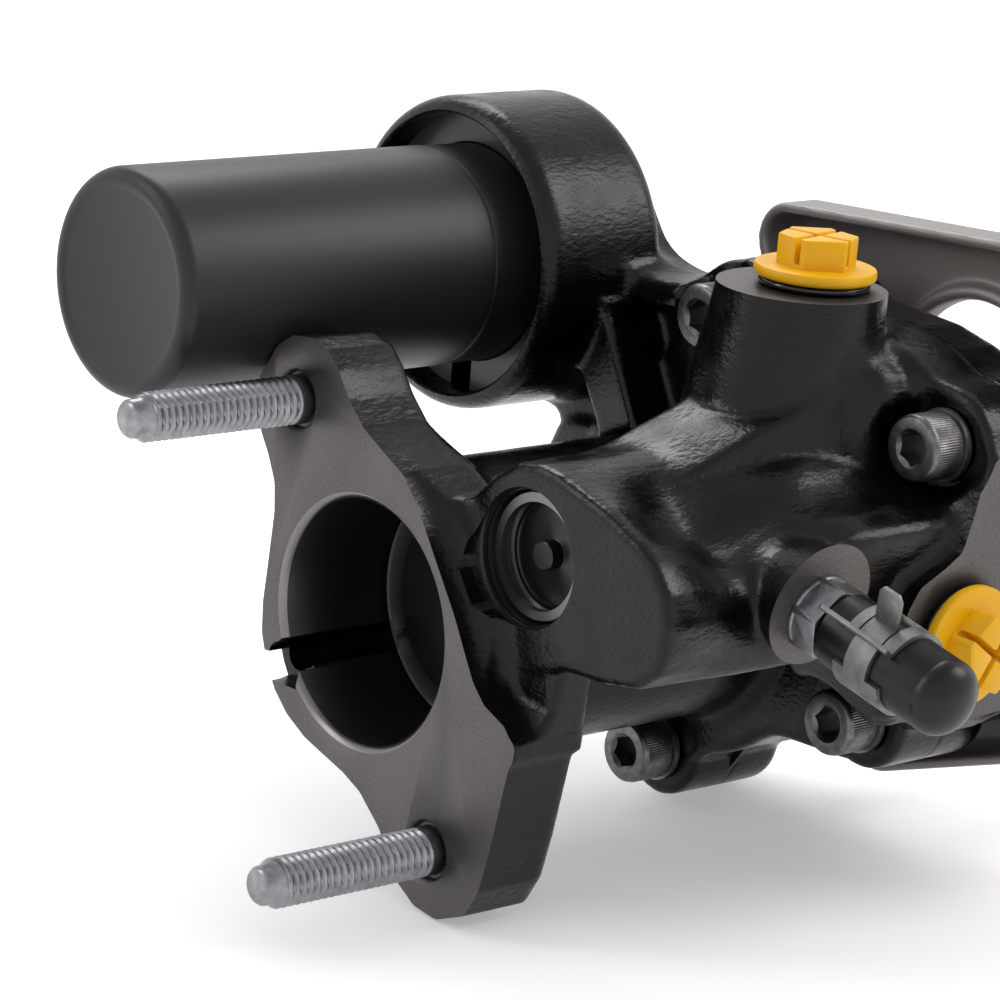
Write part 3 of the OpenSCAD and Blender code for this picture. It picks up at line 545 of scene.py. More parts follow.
# %% Casting: ring boss and webs
body = fuse(body, rod_x(59, 91, RING_R, *CAN, edge=4.0), 4.0)
form = slab_x([(36, 68), (30, 62), (24, 57), (14, 55), (4, 56), (-4, 54), (0, 30), (30, 20), (44, 20.5),
               (48, 25), (46, 40)], 88, REAR + 4, edge=2.0)
body = fuse(body, form, 4.0)
form = slab_x(soft([(39, 77), (36.7, 75.4), (33.2, 70), (29.6, 64.6), (26.8, 61), (21.5, 58.7), (17, 57.8),
                    (12, 57.6), (4, 59), (-4, 62), (-4, 54), (6, 52.5), (12.6, 51.8), (19, 52.3), (25, 54.5),
                    (31, 60), (38, 69)]), 80, REAR + 4, edge=2.4)
body = fuse(body, form, 3.0)
form = slab_x([(28.5, 43.5), (19.5, 52), (8.0, 31.5), (4, 24), (14, 18), (18.8, 28)], 73.5, 90, edge=1.3)
body = fuse(body, form, 2.2)
volume_of(body, "with the ring boss and webs")

# %% [markdown]
# Each screw head needs room for the head and the key, so the casting steps back round it.
# The flange steps back in the same way beside the canister.

# %% Casting: room for the screw heads and the canister
for y, z in BOLTS:
    body = cut_field(body, rod_x(50, SEAT, 9.4, y, z, edge=2.0), 2.2)
body = cut_field(body, rod_x(-9, 24, 23.1, *CAN), 0.6)
volume_of(body, "the raw casting")

# %% [markdown]
# OpenVDB turns the field to a mesh of even quads. Its points come in grid steps, so they are scaled and
# shifted.

# %% The raw casting as a mesh


def mesh_piece(name, points, faces, mats, angle=35):
    """A piece from points in millimetres and the faces between them."""
    me = bpy.data.meshes.new(name)
    me.from_pydata([tuple(p) for p in np.asarray(points, float) * MM], [], [tuple(f) for f in faces])
    me.update()
    o = bpy.data.objects.new(name, me)
    bpy.context.scene.collection.objects.link(o)
    for m in mats:
        me.materials.append(m)
    shade(o, angle)
    return o


def shade(o, angle=35):
    """Shades a piece smooth, but leaves edges sharp where faces meet at more than this angle."""
    o.data.shade_smooth()
    o.data.set_sharp_from_angle(angle=math.radians(angle))


def mesh_of_field(name, field, mats):
    """A piece whose skin lies where the field is nought, with its faces outwards."""
    grid = openvdb.FloatGrid()
    grid.copyFromArray(np.ascontiguousarray(field, dtype=np.float32))
    points, _, quads = grid.convertToPolygons(isovalue=0.0, adaptivity=0.0)
    points = points * STEP + np.array(LOW)
    o = mesh_piece(name, points, quads[:, ::-1], mats, 180)
    bm = bmesh.new()
    bm.from_mesh(o.data)
    if bm.calc_volume(signed=True) < 0:
        bmesh.ops.reverse_faces(bm, faces=bm.faces)
    bm.to_mesh(o.data)
    bm.free()
    return o


casting = mesh_of_field("housing_casting", body, [coat, milled, bored, turned_steel])
print("raw casting faces:", len(casting.data.polygons))

# %% [markdown]
# A lathe makes a piece by turning an outline round an axis, and so does this helper: it takes pairs of place
# and radius along any axis. The radius may also change round the axis, which gives threads and knurls later.

# %% Turned pieces


def axes_for(direction):
    """Three unit vectors: along the direction, and two across it."""
    d = np.array(direction, float) / np.linalg.norm(direction)
    up = np.array([0, 0, 1.0]) if abs(d[2]) < 0.9 else np.array([0, 1.0, 0])
    u = np.cross(up, d)
    u /= np.linalg.norm(u)
    return d, u, np.cross(d, u)


def turned(name, origin, direction, profile, mats, n=96, wobble=None, angle=35):
    """A closed turned piece from (place, radius) pairs that start and end on the axis or at a flat end."""
    d, u, v = axes_for(direction)
    o = np.array(origin, float)
    s = np.array([p[0] for p in profile], float)[:, None]
    r = np.array([p[1] for p in profile], float)[:, None]
    t = (np.arange(n) * 2 * math.pi / n)[None, :]
    rr = r + (wobble(s, r, t) if wobble else 0) + 0 * t
    pts = o + s[..., None] * d + (rr * np.cos(t))[..., None] * u + (rr * np.sin(t))[..., None] * v
    k = len(profile)
    pts = np.concatenate([pts.reshape(-1, 3), [o + s[0, 0] * d, o + s[-1, 0] * d]])
    faces = []
    for i in range(k - 1):
        for j in range(n):
            q = (j + 1) % n
            faces.append((i * n + j, i * n + q, (i + 1) * n + q, (i + 1) * n + j))
    for j in range(n):
        q = (j + 1) % n
        faces.append((k * n, q, j))
        faces.append((k * n + 1, (k - 1) * n + j, (k - 1) * n + q))
    return mesh_piece(name, pts, faces, mats, angle)


print("axes of a piece that points up:", axes_for((0, 0, 1)))

# %% [markdown]
# Flat stock is an outline made thick. The faces of a closed piece all have to look outwards, because the
# booleans ask which side is metal, so one helper turns them.

# %% Prisms


def fix_normals(o):
    """Turns the faces of a closed piece outwards."""
    bm = bmesh.new()
    bm.from_mesh(o.data)
    bmesh.ops.recalc_face_normals(bm, faces=bm.faces)
    bm.to_mesh(o.data)
    bm.free()
    return o


def prism(name, outline, direction, start, end, mats, u=None, v=None, origin=(0, 0, 0), angle=35):
    """A closed prism of an outline in the plane of u and v, between two places along the direction."""
    d = np.array(direction, float) / np.linalg.norm(direction)
    u, v, o = np.array(u, float), np.array(v, float), np.array(origin, float)
    flat = np.array(outline, float)
    low = o + start * d + flat[:, :1] * u + flat[:, 1:] * v
    high = low + (end - start) * d
    n = len(flat)
    faces = [tuple(range(n))[::-1], tuple(range(n, 2 * n))]
    faces += [(i, (i + 1) % n, n + (i + 1) % n, n + i) for i in range(n)]
    return fix_normals(mesh_piece(name, np.concatenate([low, high]), faces, mats, angle))


RIGHT, AHEAD, UP = (1, 0, 0), (0, 1, 0), (0, 0, 1)
print("a prism is drawn across its direction, such as", AHEAD, UP, "across", RIGHT)

# %% [markdown]
# A cut is a boolean with a second closed piece. The Manifold solver is chosen since it keeps closed meshes
# closed.

# %% Cuts


def apply_modifiers(o):
    """Makes the result of a piece's modifiers its mesh."""
    dg = bpy.context.evaluated_depsgraph_get()
    me = bpy.data.meshes.new_from_object(o.evaluated_get(dg))
    old = o.data
    o.modifiers.clear()
    o.data = me
    bpy.data.meshes.remove(old)
    return o


def combine(o, other, how):
    """Cuts a second closed piece out of the first or joins it, and deletes it."""
    m = o.modifiers.new(how.lower(), "BOOLEAN")
    m.operation, m.solver, m.object = how, "MANIFOLD", other
    apply_modifiers(o)
    bpy.data.objects.remove(other)


def carve(o, cutters, angle=35):
    """Cuts all the cutters out of a closed piece."""
    for c in cutters:
        combine(o, fix_normals(c), "DIFFERENCE")
    shade(o, angle)
    print(o.name, "cuts:", len(cutters), "faces:", len(o.data.polygons))
    return o


print("ready for its cuts:", casting.name)

# %% [markdown]
# The machine shop: the flange face, the rear face, the tops of the bosses and the spot faces are cut flat,
# and the bores are turned. Every cutter is a closed piece made with the same helpers as the rest.

# %% Machining the casting


def box_piece(name, low, high):
    """A box between two corners, which cuts a milled face."""
    outline = [(low[1], low[2]), (high[1], low[2]), (high[1], high[2]), (low[1], high[2])]
    return prism(name, outline, RIGHT, low[0], high[0], [milled], u=AHEAD, v=UP)


def bore_x(name, profile, y, z):
    """A turned cutter for a bore along X."""
    return turned(name, (0, y, z), RIGHT, profile, [bored], n=128)


def lever_room(x0, x1):
    """The room for the lever between the main axis and the valve axis."""
    a = math.atan2(VALVE[1], VALVE[0])
    along, over = (0, math.cos(a), math.sin(a)), (0, -math.sin(a), math.cos(a))
    return prism("c_lever", [(0, -7), (40.8, -7), (40.8, 7), (0, 7)], RIGHT, x0, x1, [bored], u=along, v=over)


port_top = [(21, 4), (53.5, 4), (53.51, PORT_R), (66.7, PORT_R), (67.6, 9.5), (69, 9.5)]
port_side = [(38, 4), (64, 4), (64.01, PORT_R), (77.2, PORT_R), (78.1, 9.5), (80, 9.5)]
slot = [(17.5, -18.4), (33, -19), (33, -13.5), (24, -13), (20, -9)]
cutters = [
    box_piece("c_front", (-9, -90, -70), (0, 90, 99)),
    box_piece("c_rear", (REAR, -90, -70), (REAR + 9, 90, 99)),
    box_piece("c_side", (60, SIDE_Y - 9, -20), (110, SIDE_Y, 60)),
    box_piece("c_top", (50, -65, TOP_Z), (REAR + 3, -5, 80)),
    bore_x("c_pilot", [(-1, 25.0), (0.0, 25.0), (1.2, PILOT_R), (26.2, PILOT_R), (26.6, 23.2), (27, 20.05),
                       (30, 20.05), (30.01, PISTON_R), (99, PISTON_R)], 0, 0),
    bore_x("c_valve", [(4, 13.3), (9.3, 13.3), (9.7, 12.9), (10.3, 12.9), (10.31, 13.2), (10.9, 13.2),
                       (10.91, 12.7), (11.9, 12.7), (13.0, 12.3), (13.01, 12.6), (13.9, 12.6), (13.91, 11.9),
                       (15.0, 11.25), (30, 11.25), (30.01, 9.55), (99, 9.55)], *VALVE),
    bore_x("c_can", [(57, 29.6), (59, 29.6), (60, 28.7), (73, 28.7), (73.01, 22.65), (81, 22.65),
                     (81.01, 16.4), (86, 16.4)], *CAN),
    turned("c_port_top", (TOP[0], TOP[1], 0), UP, port_top, [bored]),
    turned("c_port_side", (SIDE[0], 0, SIDE[1]), (0, -1, 0), port_side, [bored]),
    turned("c_pad", PAD_AT, NIPPLE_DIR, [(0, 20), (9, 20)], [milled]),
    turned("c_nipple", NIPPLE_AT, NIPPLE_DIR, [(-14, 4.65), (3, 4.65)], [bored]),
    turned("c_vent", (0, *VENT), RIGHT, [(-1, 3.3), (13, 3.3)], [coat]),
    turned("c_groove", (0, *GROOVE), RIGHT, [(-1, 3.3), (26, 3.3)], [coat]),
    prism("c_slot", slot, RIGHT, -1, 5, [coat], u=AHEAD, v=UP),
    lever_room(54.2, 99),
]
stud_hole = [(-1, 6.3), (0, 6.3), (0.8, 5.5), (1.6, 5.4), (1.61, 4.8), (15, 4.8)]
screw_hole = [(SEAT - 4, 8.0), (SEAT, 8.0), (SEAT + 0.01, 4.4), (REAR + 1, 4.4)]
cutters += [bore_x("c_stud", stud_hole, y, z) for y, z in STUDS]
cutters += [bore_x("c_screw", screw_hole, y, z) for y, z in BOLTS]
carve(casting, cutters, angle=50)

# %% [markdown]
# Every piece rides on the body that carries it, and may stand in for CAD nodes. One function says both.

# %% Fitting a piece into the part


def dress(o, body, slot, *nodes):
    """Puts a piece on its body and in the place of the CAD nodes it stands for. The slot is not used."""
    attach(o, body)
    if nodes:
        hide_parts(*nodes)
    print(o.name, "faces:", len(o.data.polygons))
    return o


slots = {p["node"]: p["material_slot"] for p in frame["record"]["subparts"]}
print("material slots:", sorted(set(slots.values())))

# %% [markdown]
# Faces are painted by where they lie: a face in a milled plane becomes bare iron, and a wall of a bore
# turned metal.

# %% Finishes of the casting
COATED, MILLED, BORED, TURNED = range(4)
me = casting.data
centre = np.empty(len(me.polygons) * 3)
normal = np.empty(len(me.polygons) * 3)
me.polygons.foreach_get("center", centre)
me.polygons.foreach_get("normal", normal)
centre, normal = centre.reshape(-1, 3) / MM, normal.reshape(-1, 3)
finish = np.zeros(len(me.polygons), np.int32)


def off_axis(y, z):
    """How far each face lies from an axis along X."""
    return np.hypot(centre[:, 1] - y, centre[:, 2] - z)


def paint(mask, index):
    """Gives the chosen faces a finish."""
    finish[mask] = index


on_plane = 0.02  # how near a face lies to the plane that cut it
r_main, r_valve = off_axis(0, 0), off_axis(*VALVE)
x = centre[:, 0]
paint((x < on_plane) & (normal[:, 0] < -0.9), MILLED)
paint((r_main < 25.3) & (x > on_plane), BORED)
paint((r_main < 25.3) & (x < 1.25) & (x > on_plane), TURNED)
paint(((off_axis(*VENT) < 3.5) | (off_axis(*GROOVE) < 3.4)) & (x > on_plane), COATED)
paint((r_valve < 13.4) & (x > 9.02), BORED)
lips = ((x > 11.95) & (x < 12.99)) | ((x > 13.95) & (x < 15))
paint((r_valve > 11) & (r_valve < 13) & lips, TURNED)
paint((off_axis(*CAN) < 29.7) & (x > 58.5), COATED)
paint((np.abs(centre[:, 2] - TOP_Z) < on_plane) & (normal[:, 2] > 0.9), MILLED)
paint((np.abs(centre[:, 1] - SIDE_Y) < on_plane) & (normal[:, 1] < -0.9), MILLED)
along = (centre - PAD_AT) @ NIPPLE_DIR
paint((np.abs(along) < 0.05) & (normal @ NIPPLE_DIR > 0.95), MILLED)
for y, z in BOLTS:
    paint((np.abs(x - SEAT) < on_plane) & (normal[:, 0] < -0.9) & (off_axis(y, z) < 8.1), MILLED)
for y, z in STUDS:
    paint((off_axis(y, z) < 7) & (x > on_plane) & (x < 16), MILLED)
paint(np.abs(x - REAR) < on_plane, MILLED)
me.polygons.foreach_set("material_index", finish)
dress(casting, "housing", "cast_black", "housing")

# %% [markdown]
# The rear cover is a second casting with the same outline. It is made the same way, on a grid of its own.

# %% Rear cover
set_grid((96.0, -81.0, -52.0), (141.0, 50.0, 70.0), 0.85)
form = keep(keep(rear_field(), REAR + 0.4 - X, 0.3), X - COVER, 3.2)
form = fuse(form, rod_x(105, 114, 25, 0, 0, edge=1.0), 2.0)
form = fuse(form, rod_x(105, 139, 19, 0, 0, edge=1.0), 0.6)
cover = mesh_of_field("cover_casting", form, [coat, milled, bored])
cutters = [
    box_piece("c_joint", (90, -90, -70), (REAR + 0.8, 90, 99)),
    bore_x("c_room", [(90, 24), (106.7, 24), (106.71, 7.4), (132, 7.4), (132.01, 12.05), (141, 12.05)], 0, 0),
    bore_x("c_liner", [(90, 9.5), (107.7, 9.5)], *VALVE),
    lever_room(90, 105.2),
]
cutters += [bore_x("c_thread", [(90, 4.05), (111, 4.05)], y, z) for y, z in BOLTS]
carve(cover, cutters, angle=50)
dress(cover, "housing", "cast_black", "rear_cover")

# %% [markdown]
# The canister is a drawn steel cup with a rolled round lip at the closed end, and a fine groove near its
# seat.

# %% Canister
lip_x, lip_r = -22.8, 2.7
turn = np.linspace(-0.5, math.pi / 2, 12)
arc = [(lip_x + lip_r * (1 - math.cos(a)), CAN_R - lip_r * (1 - math.sin(a))) for a in turn]
outside = [(30, CAN_R), (52.8, CAN_R), (53.1, 21.9), (53.7, 21.9), (54, 22.3), (81, 22.3)]
inside = [(81, 19.95), (-15, 19.95), (-19, 18.5), (-19.2, 0.01)]
profile = [(-22.3, 0.01), (-22.3, 17.9)] + arc + outside + inside
canister = turned("canister_shell", (0, *CAN), RIGHT, profile, [satin], n=160)
dress(fix_normals(canister), "housing", "canister_paint", "canister")

# %% [markdown]
# Studs with a rolled thread: sixteen turns to the inch, a pitch of 1.59 mm. The radius follows the thread's
# triangle as it winds round, and fades out at both ends, as a rolled thread does.

# %% Flange studs


def thread(pitch, depth, starts, ends, fade):
    """A wobble for turned(): the radius drops by up to depth along a helix between two places."""
    def shape(s, r, t):
        phase = (s / pitch - t / (2 * math.pi)) % 1.0
        tooth = np.clip(np.abs(phase - 0.5) * 2.4 - 0.15, 0, 1)
        strength = np.clip((s - starts) / fade, 0, 1) * np.clip((ends - s) / fade, 0, 1)
        return -depth * tooth * strength
    return shape


STUD_TIP_X, PITCH, THREAD_DEPTH = -39.8, 25.4 / 16, 0.85


def stud(name, y, z):
    """A stud with a pilot tip, a rolled thread and a plain end in the casting."""
    profile = [(0, 0.01), (0, 2.9), (0.25, 3.3), (0.8, 3.7), (2.6, 3.8), (3.0, 4.1)]
    profile += [(s, STUD_R) for s in np.arange(3.7, 38.5, PITCH / 8)]
    profile += [(39.1, STUD_R), (40.4, STUD_R), (52, STUD_R), (52, 0.01)]
    turns = thread(PITCH, THREAD_DEPTH, 3.5, 38.3, 0.8)
    return fix_normals(turned(name, (STUD_TIP_X, y, z), RIGHT, profile, [zinc], n=64, wobble=turns, angle=50))


dress(stud("flange_stud_top", *STUDS[0]), "housing", "zinc", "flange_stud_upper")
dress(stud("flange_stud_low", *STUDS[1]), "housing", "zinc", "flange_stud_lower")

# %% [markdown]
# Socket cap screws: the head is knurled so that fingers can turn it in, and the hex socket is cold formed.

# %% Cap screws


def knurl(teeth, depth, low, high):
    """A wobble for turned(): fine teeth on the outside between two places."""
    def shape(s, r, t):
        on = (s > low) & (s < high) & (r > 5)
        return np.where(on, -depth * np.abs(((t * teeth / (2 * math.pi)) % 1.0) * 2 - 1), 0.0)
    return shape


def hex_outline(radius, turn=0.0):
    """A hexagon by the radius of its corners."""
    return [(radius * math.cos(turn + k * math.pi / 3),
             radius * math.sin(turn + k * math.pi / 3)) for k in range(6)]


WASHER_T, HEAD_H, HEAD_R, SHANK_R, SOCKET_R = 1.2, 8.0, 6.5, 4.0, 3.48
SOCKET_TURNS = (0.5, 0.15, 0.7, 1.1, 0.3)  # how far each hexagon happened to end up turned, in radians


def cap_screw(name, y, z, turn):
    """A knurled head on a shank, with a socket whose edge is broken by a cone."""
    x0 = SEAT - WASHER_T - HEAD_H
    profile = [(0, 0.01), (0, 5.75), (0.1, 5.95), (0.5, 6.3), (0.95, 6.42), (1.2, HEAD_R), (1.4, HEAD_R),
               (7.3, HEAD_R), (7.6, 6.4), (HEAD_H, 6.1), (HEAD_H, SHANK_R), (32, SHANK_R), (33, 3.2),
               (33, 0.01)]
    teeth = knurl(80, 0.12, 1.15, 7.4)
    head = turned(name, (x0, y, z), RIGHT, profile, [screw_steel], n=320, wobble=teeth, angle=30)
    fix_normals(head)
    socket = prism("c_hex", hex_outline(SOCKET_R, turn), RIGHT, x0 - 1, x0 + 4.4, [screw_steel], u=AHEAD,
                   v=UP, origin=(0, y, z))
    lead = turned("c_lead", (x0, y, z), RIGHT, [(-1, 4.7), (0, 3.85), (0.75, 3.0), (0.76, 0.01)],
                  [screw_steel], n=96)
    return carve(head, [socket, lead], angle=30)


for k, ((y, z), turn) in enumerate(zip(BOLTS, SOCKET_TURNS), start=1):
    dress(cap_screw(f"socket_screw_{k}", y, z, turn), "housing", "screw_steel", f"cap_screw_{k}")

# %% [markdown]
# Shipping plugs: a round flange over an O-ring, and a hexagonal head split by a cross so it can be gripped.

# %% Plugs


def unite(o, other, angle=35):
    """Joins a second closed piece to the first, so both have one skin."""
    combine(o, other, "UNION")
    shade(o, angle)
    return o


def bevelled(o, width):
    """Breaks the sharp edges of a piece by this many millimetres."""
    bevel = o.modifiers.new("bevel", "BEVEL")
    bevel.width, bevel.segments, bevel.limit_method = width * MM, 2, "ANGLE"
    return apply_modifiers(o)


def plug(name, origin, direction, slot_at):
    """A plug with its flange, and a hexagon split by two slots, the first at the given angle."""
    d, u, v = axes_for(direction)
    profile = [(-11, 0.01), (-11, 8.2), (-10.5, 8.45), (1.9, 8.45), (1.9, 11.1), (2.15, 11.55), (2.6, 11.8),
               (3.7, 11.8), (4.1, 11.6), (4.3, 11.1), (4.3, 0.01)]
    base = fix_normals(turned(name, origin, direction, profile, [plug_yellow], n=96))
    hexagon = hex_outline(7.9, slot_at + math.radians(15))
    head = prism("head", hexagon, direction, 3.6, 10.1, [plug_yellow], u=u, v=v, origin=origin)
    bar = [(-10, -0.65), (10, -0.65), (10, 0.65), (-10, 0.65)]
    bars = []
    for a in (slot_at, slot_at + math.pi / 2):
        cu = math.cos(a) * u + math.sin(a) * v
        cv = -math.sin(a) * u + math.cos(a) * v
        bars.append(prism("bar", bar, direction, 4.9, 12, [plug_yellow], u=cu, v=cv, origin=origin))
    carve(head, bars, 35)
    return unite(base, bevelled(head, 0.35))


TOP_PORT, SIDE_PORT, OUT = (*TOP, TOP_Z), (SIDE[0], SIDE_Y, SIDE[1]), (0, -1, 0)
top_plug = plug("shipping_plug_top", TOP_PORT, UP, math.radians(12.2))
side_plug = plug("shipping_plug_side", SIDE_PORT, OUT, math.radians(-35.3))
dress(top_plug, "housing", "yellow_plastic", "top_plug")
dress(side_plug, "housing", "yellow_plastic", "side_plug")

# %% [markdown]
# An O-ring under each plug keeps dirt out. It is a plain torus of oiled rubber.

# %% Plug seals
RING_LIFT, RING_MEAN_R, RING_WIRE_R = 0.95, 9.9, 0.92


def ring(name, origin, direction):
    """An O-ring just above a machined face."""
    d, u, v = axes_for(direction)
    o = np.array(origin, float)
    n, k = 96, 24
    t = np.arange(n) * 2 * math.pi / n
    wire = np.arange(k) * 2 * math.pi / k
    loop = [(RING_LIFT + RING_WIRE_R * math.sin(a), RING_MEAN_R + RING_WIRE_R * math.cos(a)) for a in wire]
    pts = np.array([[o + s * d + r * (math.cos(a) * u + math.sin(a) * v) for a in t] for s, r in loop])
    faces = []
    for i in range(k):
        for j in range(n):
            after, beside = (i + 1) % k, (j + 1) % n
            faces.append((i * n + j, i * n + beside, after * n + beside, after * n + j))
    return fix_normals(mesh_piece(name, pts.reshape(-1, 3), faces, [seal_rubber], 60))


dress(ring("oring_top", TOP_PORT, UP), "housing", "rubber", "top_plug_seal")
dress(ring("oring_side", SIDE_PORT, OUT), "housing", "rubber", "side_plug_seal")

# %% [markdown]
# The return nipple: a hexagon on a thin collar, and a hose tail that a rubber cap covers for shipping.

# %% Nipple and cap
d, u, v = axes_for(NIPPLE_DIR)
TAIL_R, HEX_H, CAP_R = 4.6, 6.3, 7.3
nut = hex_outline(7.8, math.radians(45))
hexagon = prism("return_nipple", nut, NIPPLE_DIR, 0.0, HEX_H, [nut_steel], u=u, v=v, origin=NIPPLE_AT)
bevelled(hexagon, 0.35)
profile = [(-10, 0.01), (-10, TAIL_R), (0.05, TAIL_R), (0.05, 7.5), (0.6, 7.5), (0.9, 7.3), (0.9, TAIL_R),
           (32, TAIL_R), (33, 4.0), (33, 0.01)]
tail = fix_normals(turned("tail", NIPPLE_AT, NIPPLE_DIR, profile, [nut_steel]))
dress(unite(hexagon, tail), "housing", "zinc", "nipple")

side = [(6.9, 4.7), (6.9, 6.9), (7.2, 7.25), (8.4, CAP_R), (31.8, CAP_R), (32.0, 7.25), (32.2, CAP_R)]
quarter = np.linspace(0, math.pi / 2, 16)[:-1]
dome = [(32.9 + 5.0 * math.sin(a), CAP_R * math.cos(a)) for a in quarter] + [(37.9, 0.01)]
bore = [(33.6, 0.01), (33.5, 4.65)]
cap = fix_normals(turned("rubber_cap", NIPPLE_AT, NIPPLE_DIR, side + dome + bore, [cap_rubber], n=96))
dress(cap, "housing", "rubber", "nipple_cap")

# %% [markdown]
# The clamp is stamped from spring strip: a full band that splits into a fork, and a tongue that passes
# through the fork. Both ends turn outwards as ears, which pliers squeeze together. The sheet is drawn as
# cells round the cap, and only the cells that hold steel get faces, so the fork's window is really open.

# %% Spring clamp


def clamp_band(name, inner, outer, mats):
    """The band of the clamp, between two radii."""
    places, count = [13.0, 15.3, 15.7, 21.3, 21.7, 24.5], 90
    first, step = -168, 4

    def steel(k, j):
        """Whether the cell at this turn and place holds steel."""
        a = first + step * (k % count)
        full, fork, tongue = a < 60, 60 <= a < 144 and j in (0, 4), a >= 112 and j == 2
        return 0 <= j < 5 and (full or fork or tongue)

    pts = []
    for k in range(count):
        a = math.radians(first + step * k)
        for s in places:
            for r in (inner, outer):
                pts.append(NIPPLE_AT + s * d + r * (math.cos(a) * u + math.sin(a) * v))

    def at(k, j, side):
        """The point at this turn, place and side of the strip."""
        return ((k % count) * 6 + j) * 2 + side

    faces = []
    for k in range(count):
        for j in range(5):
            if not steel(k, j):
                continue
            faces.append((at(k, j, 1), at(k + 1, j, 1), at(k + 1, j + 1, 1), at(k, j + 1, 1)))
            faces.append((at(k, j, 0), at(k, j + 1, 0), at(k + 1, j + 1, 0), at(k + 1, j, 0)))
            if not steel(k - 1, j):
                faces.append((at(k, j, 0), at(k, j, 1), at(k, j + 1, 1), at(k, j + 1, 0)))
            if not steel(k + 1, j):
                faces.append((at(k + 1, j, 0), at(k + 1, j + 1, 0), at(k + 1, j + 1, 1), at(k + 1, j, 1)))
            if not steel(k, j - 1):
                faces.append((at(k, j, 0), at(k + 1, j, 0), at(k + 1, j, 1), at(k, j, 1)))
            if not steel(k, j + 1):
                faces.append((at(k, j + 1, 0), at(k, j + 1, 1), at(k + 1, j + 1, 1), at(k + 1, j + 1, 0)))
    o = mesh_piece(name, pts, faces, mats, 35)
    bm = bmesh.new()
    bm.from_mesh(o.data)
    bmesh.ops.delete(bm, geom=[p for p in bm.verts if not p.link_faces], context="VERTS")
    bm.to_mesh(o.data)
    bm.free()
    return fix_normals(o)


def ear(angle, outline, lean=0.0):
    """A flat ear 0.9 mm thick. Its outline is in place along the cap and radius."""
    a = math.radians(angle)
    out = math.cos(a + lean) * u + math.sin(a + lean) * v
    across = -math.sin(a + lean) * u + math.cos(a + lean) * v
    foot = NIPPLE_AT + 7.5 * (math.cos(a) * u + math.sin(a) * v) - 7.5 * out
    o = prism("ear", outline, across, -0.45, 0.45, [band_steel], u=d, v=out, origin=foot)
    return bevelled(o, 0.15)


wide_ear = [(13.05, 7.5), (24.45, 7.5), (24.45, 10.2), (22.5, 12.2), (8.6, 12.2), (7.4, 11.0), (7.4, 10.4),
            (13.05, 9.6)]
slim_ear = [(15.75, 7.5), (21.25, 7.5), (21.25, 13.8), (20.3, 15.0), (16.6, 15.0), (15.75, 14.0)]
clamp = clamp_band("spring_clamp", 7.36, 8.26, [band_steel])
unite(clamp, ear(144, wide_ear))
unite(clamp, ear(112, slim_ear, math.radians(-14)))
dress(clamp, "housing", "zinc", "cap_clamp")

# %% [markdown]
# The plug in the valve bore sits below the threaded lips. It is turned, coated black, with a short pin at
# its centre.

# %% Valve plug
profile = [(13.0, 0.01), (13.0, 2.5), (13.25, 2.8), (16.0, 2.8), (16.1, 3.0), (16.1, 9.6), (15.85, 9.7),
           (15.6, 9.9), (15.6, 10.6), (15.1, 11.2), (28, 11.2), (28, 0.01)]
valve_plug = fix_normals(turned("valve_bore_plug", (0, *VALVE), RIGHT, profile, [bored], n=96))
dress(valve_plug, "housing", "cast_black", "valve_plug")

# %% [markdown]
# The bracket is drawn from 3 mm sheet: a flat floor with a rim that turns forward, a dish round the neck of
# the cover and a rolled collar round the hose window. Drawn sheet has a radius at each bend, which a field
# gives too.

# %% Bracket
set_grid((110.5, -88.5, -46.0), (128.0, 40.5, 83.0), 0.62)
edge_of = flat_field([(8, 64.5), (-72, 70), (-78, -13), (-32, -29.5)], Y, Z) - 8
edge_of = np.minimum(edge_of, np.hypot(Y, Z) - 38)
sheet = keep(np.abs(edge_of + 1.15) - 1.15, np.abs(X - 119) - 7, 1.1)
sheet = fuse(sheet, keep(edge_of, np.abs(X - 124.5) - 1.5, 0.8), 3.0)
sheet = keep(sheet, keep(edge_of, X - 126, 5.0), 0.3)
sheet = fuse(sheet, rod_x(114, 126, 32.4, 0, 0, edge=2.0), 1.5)
sheet = cut_field(sheet, rod_x(117, 133, 29.5, 0, 0, edge=2.0), 1.0)
around = np.hypot(Y + 39, Z - 40)
sheet = fuse(sheet, keep(np.abs(around - 22.5) - 1.5, np.abs(X - 123.5) - 2.5, 1.3), 1.6)
sheet = keep(sheet, 21 - around, 0.8)
bracket = mesh_of_field("bracket_sheet", sheet, [sheet_steel])
cutters = [turned("c_neck", (0, 0, 0), RIGHT, [(110, 19.05), (130, 19.05)], [sheet_steel], n=128)]
for k in range(1, 5):
    hole = turned("c_stud_hole", (0, *middle(f"bracket_stud_{k}")), RIGHT, [(118, 4.05), (130, 4.05)],
                  [sheet_steel], n=64)
    cutters.append(hole)
carve(bracket, cutters, angle=40)
dress(bracket, "housing", "bracket_steel", "bracket")

# %% [markdown]
# CAD nodes whose shape is already right keep their mesh and only get a better finish; the canister clip's
# finish is painted shade.

# %% Finishes for carried-over nodes
finishes = {"cast_black": coat, "bracket_steel": sheet_steel, "zinc": zinc, "screw_steel": nut_steel,
            "canister_paint": satin, "rubber": seal_rubber, "yellow_plastic": plug_yellow,
            "bright_steel": turned_steel}
# The canister clip takes the dark bore finish as painted shade, so the gap in the ring boss looks dark.
own_finishes_and_painted_shade = {"canister_clip": bored, "spring_retainer": bored, "cover_gasket": cap_rubber}
for name, o in frame["nodes"].items():
    finish_of = own_finishes_and_painted_shade.get(name, finishes[slots[name]])
    for k in range(max(1, len(o.data.materials))):
        if k < len(o.data.materials):
            o.data.materials[k] = finish_of
        else:
            o.data.materials.append(finish_of)
print("carried-over nodes:", sum(not o.hide_render for o in frame["nodes"].values()))

# %% [markdown]
# The studio: a wide pale floor just under the part and an even sky that is lighter above than at the sides,
# so black gloss keeps its depth. What the camera sees of the sky is white, and mirrors see that too.

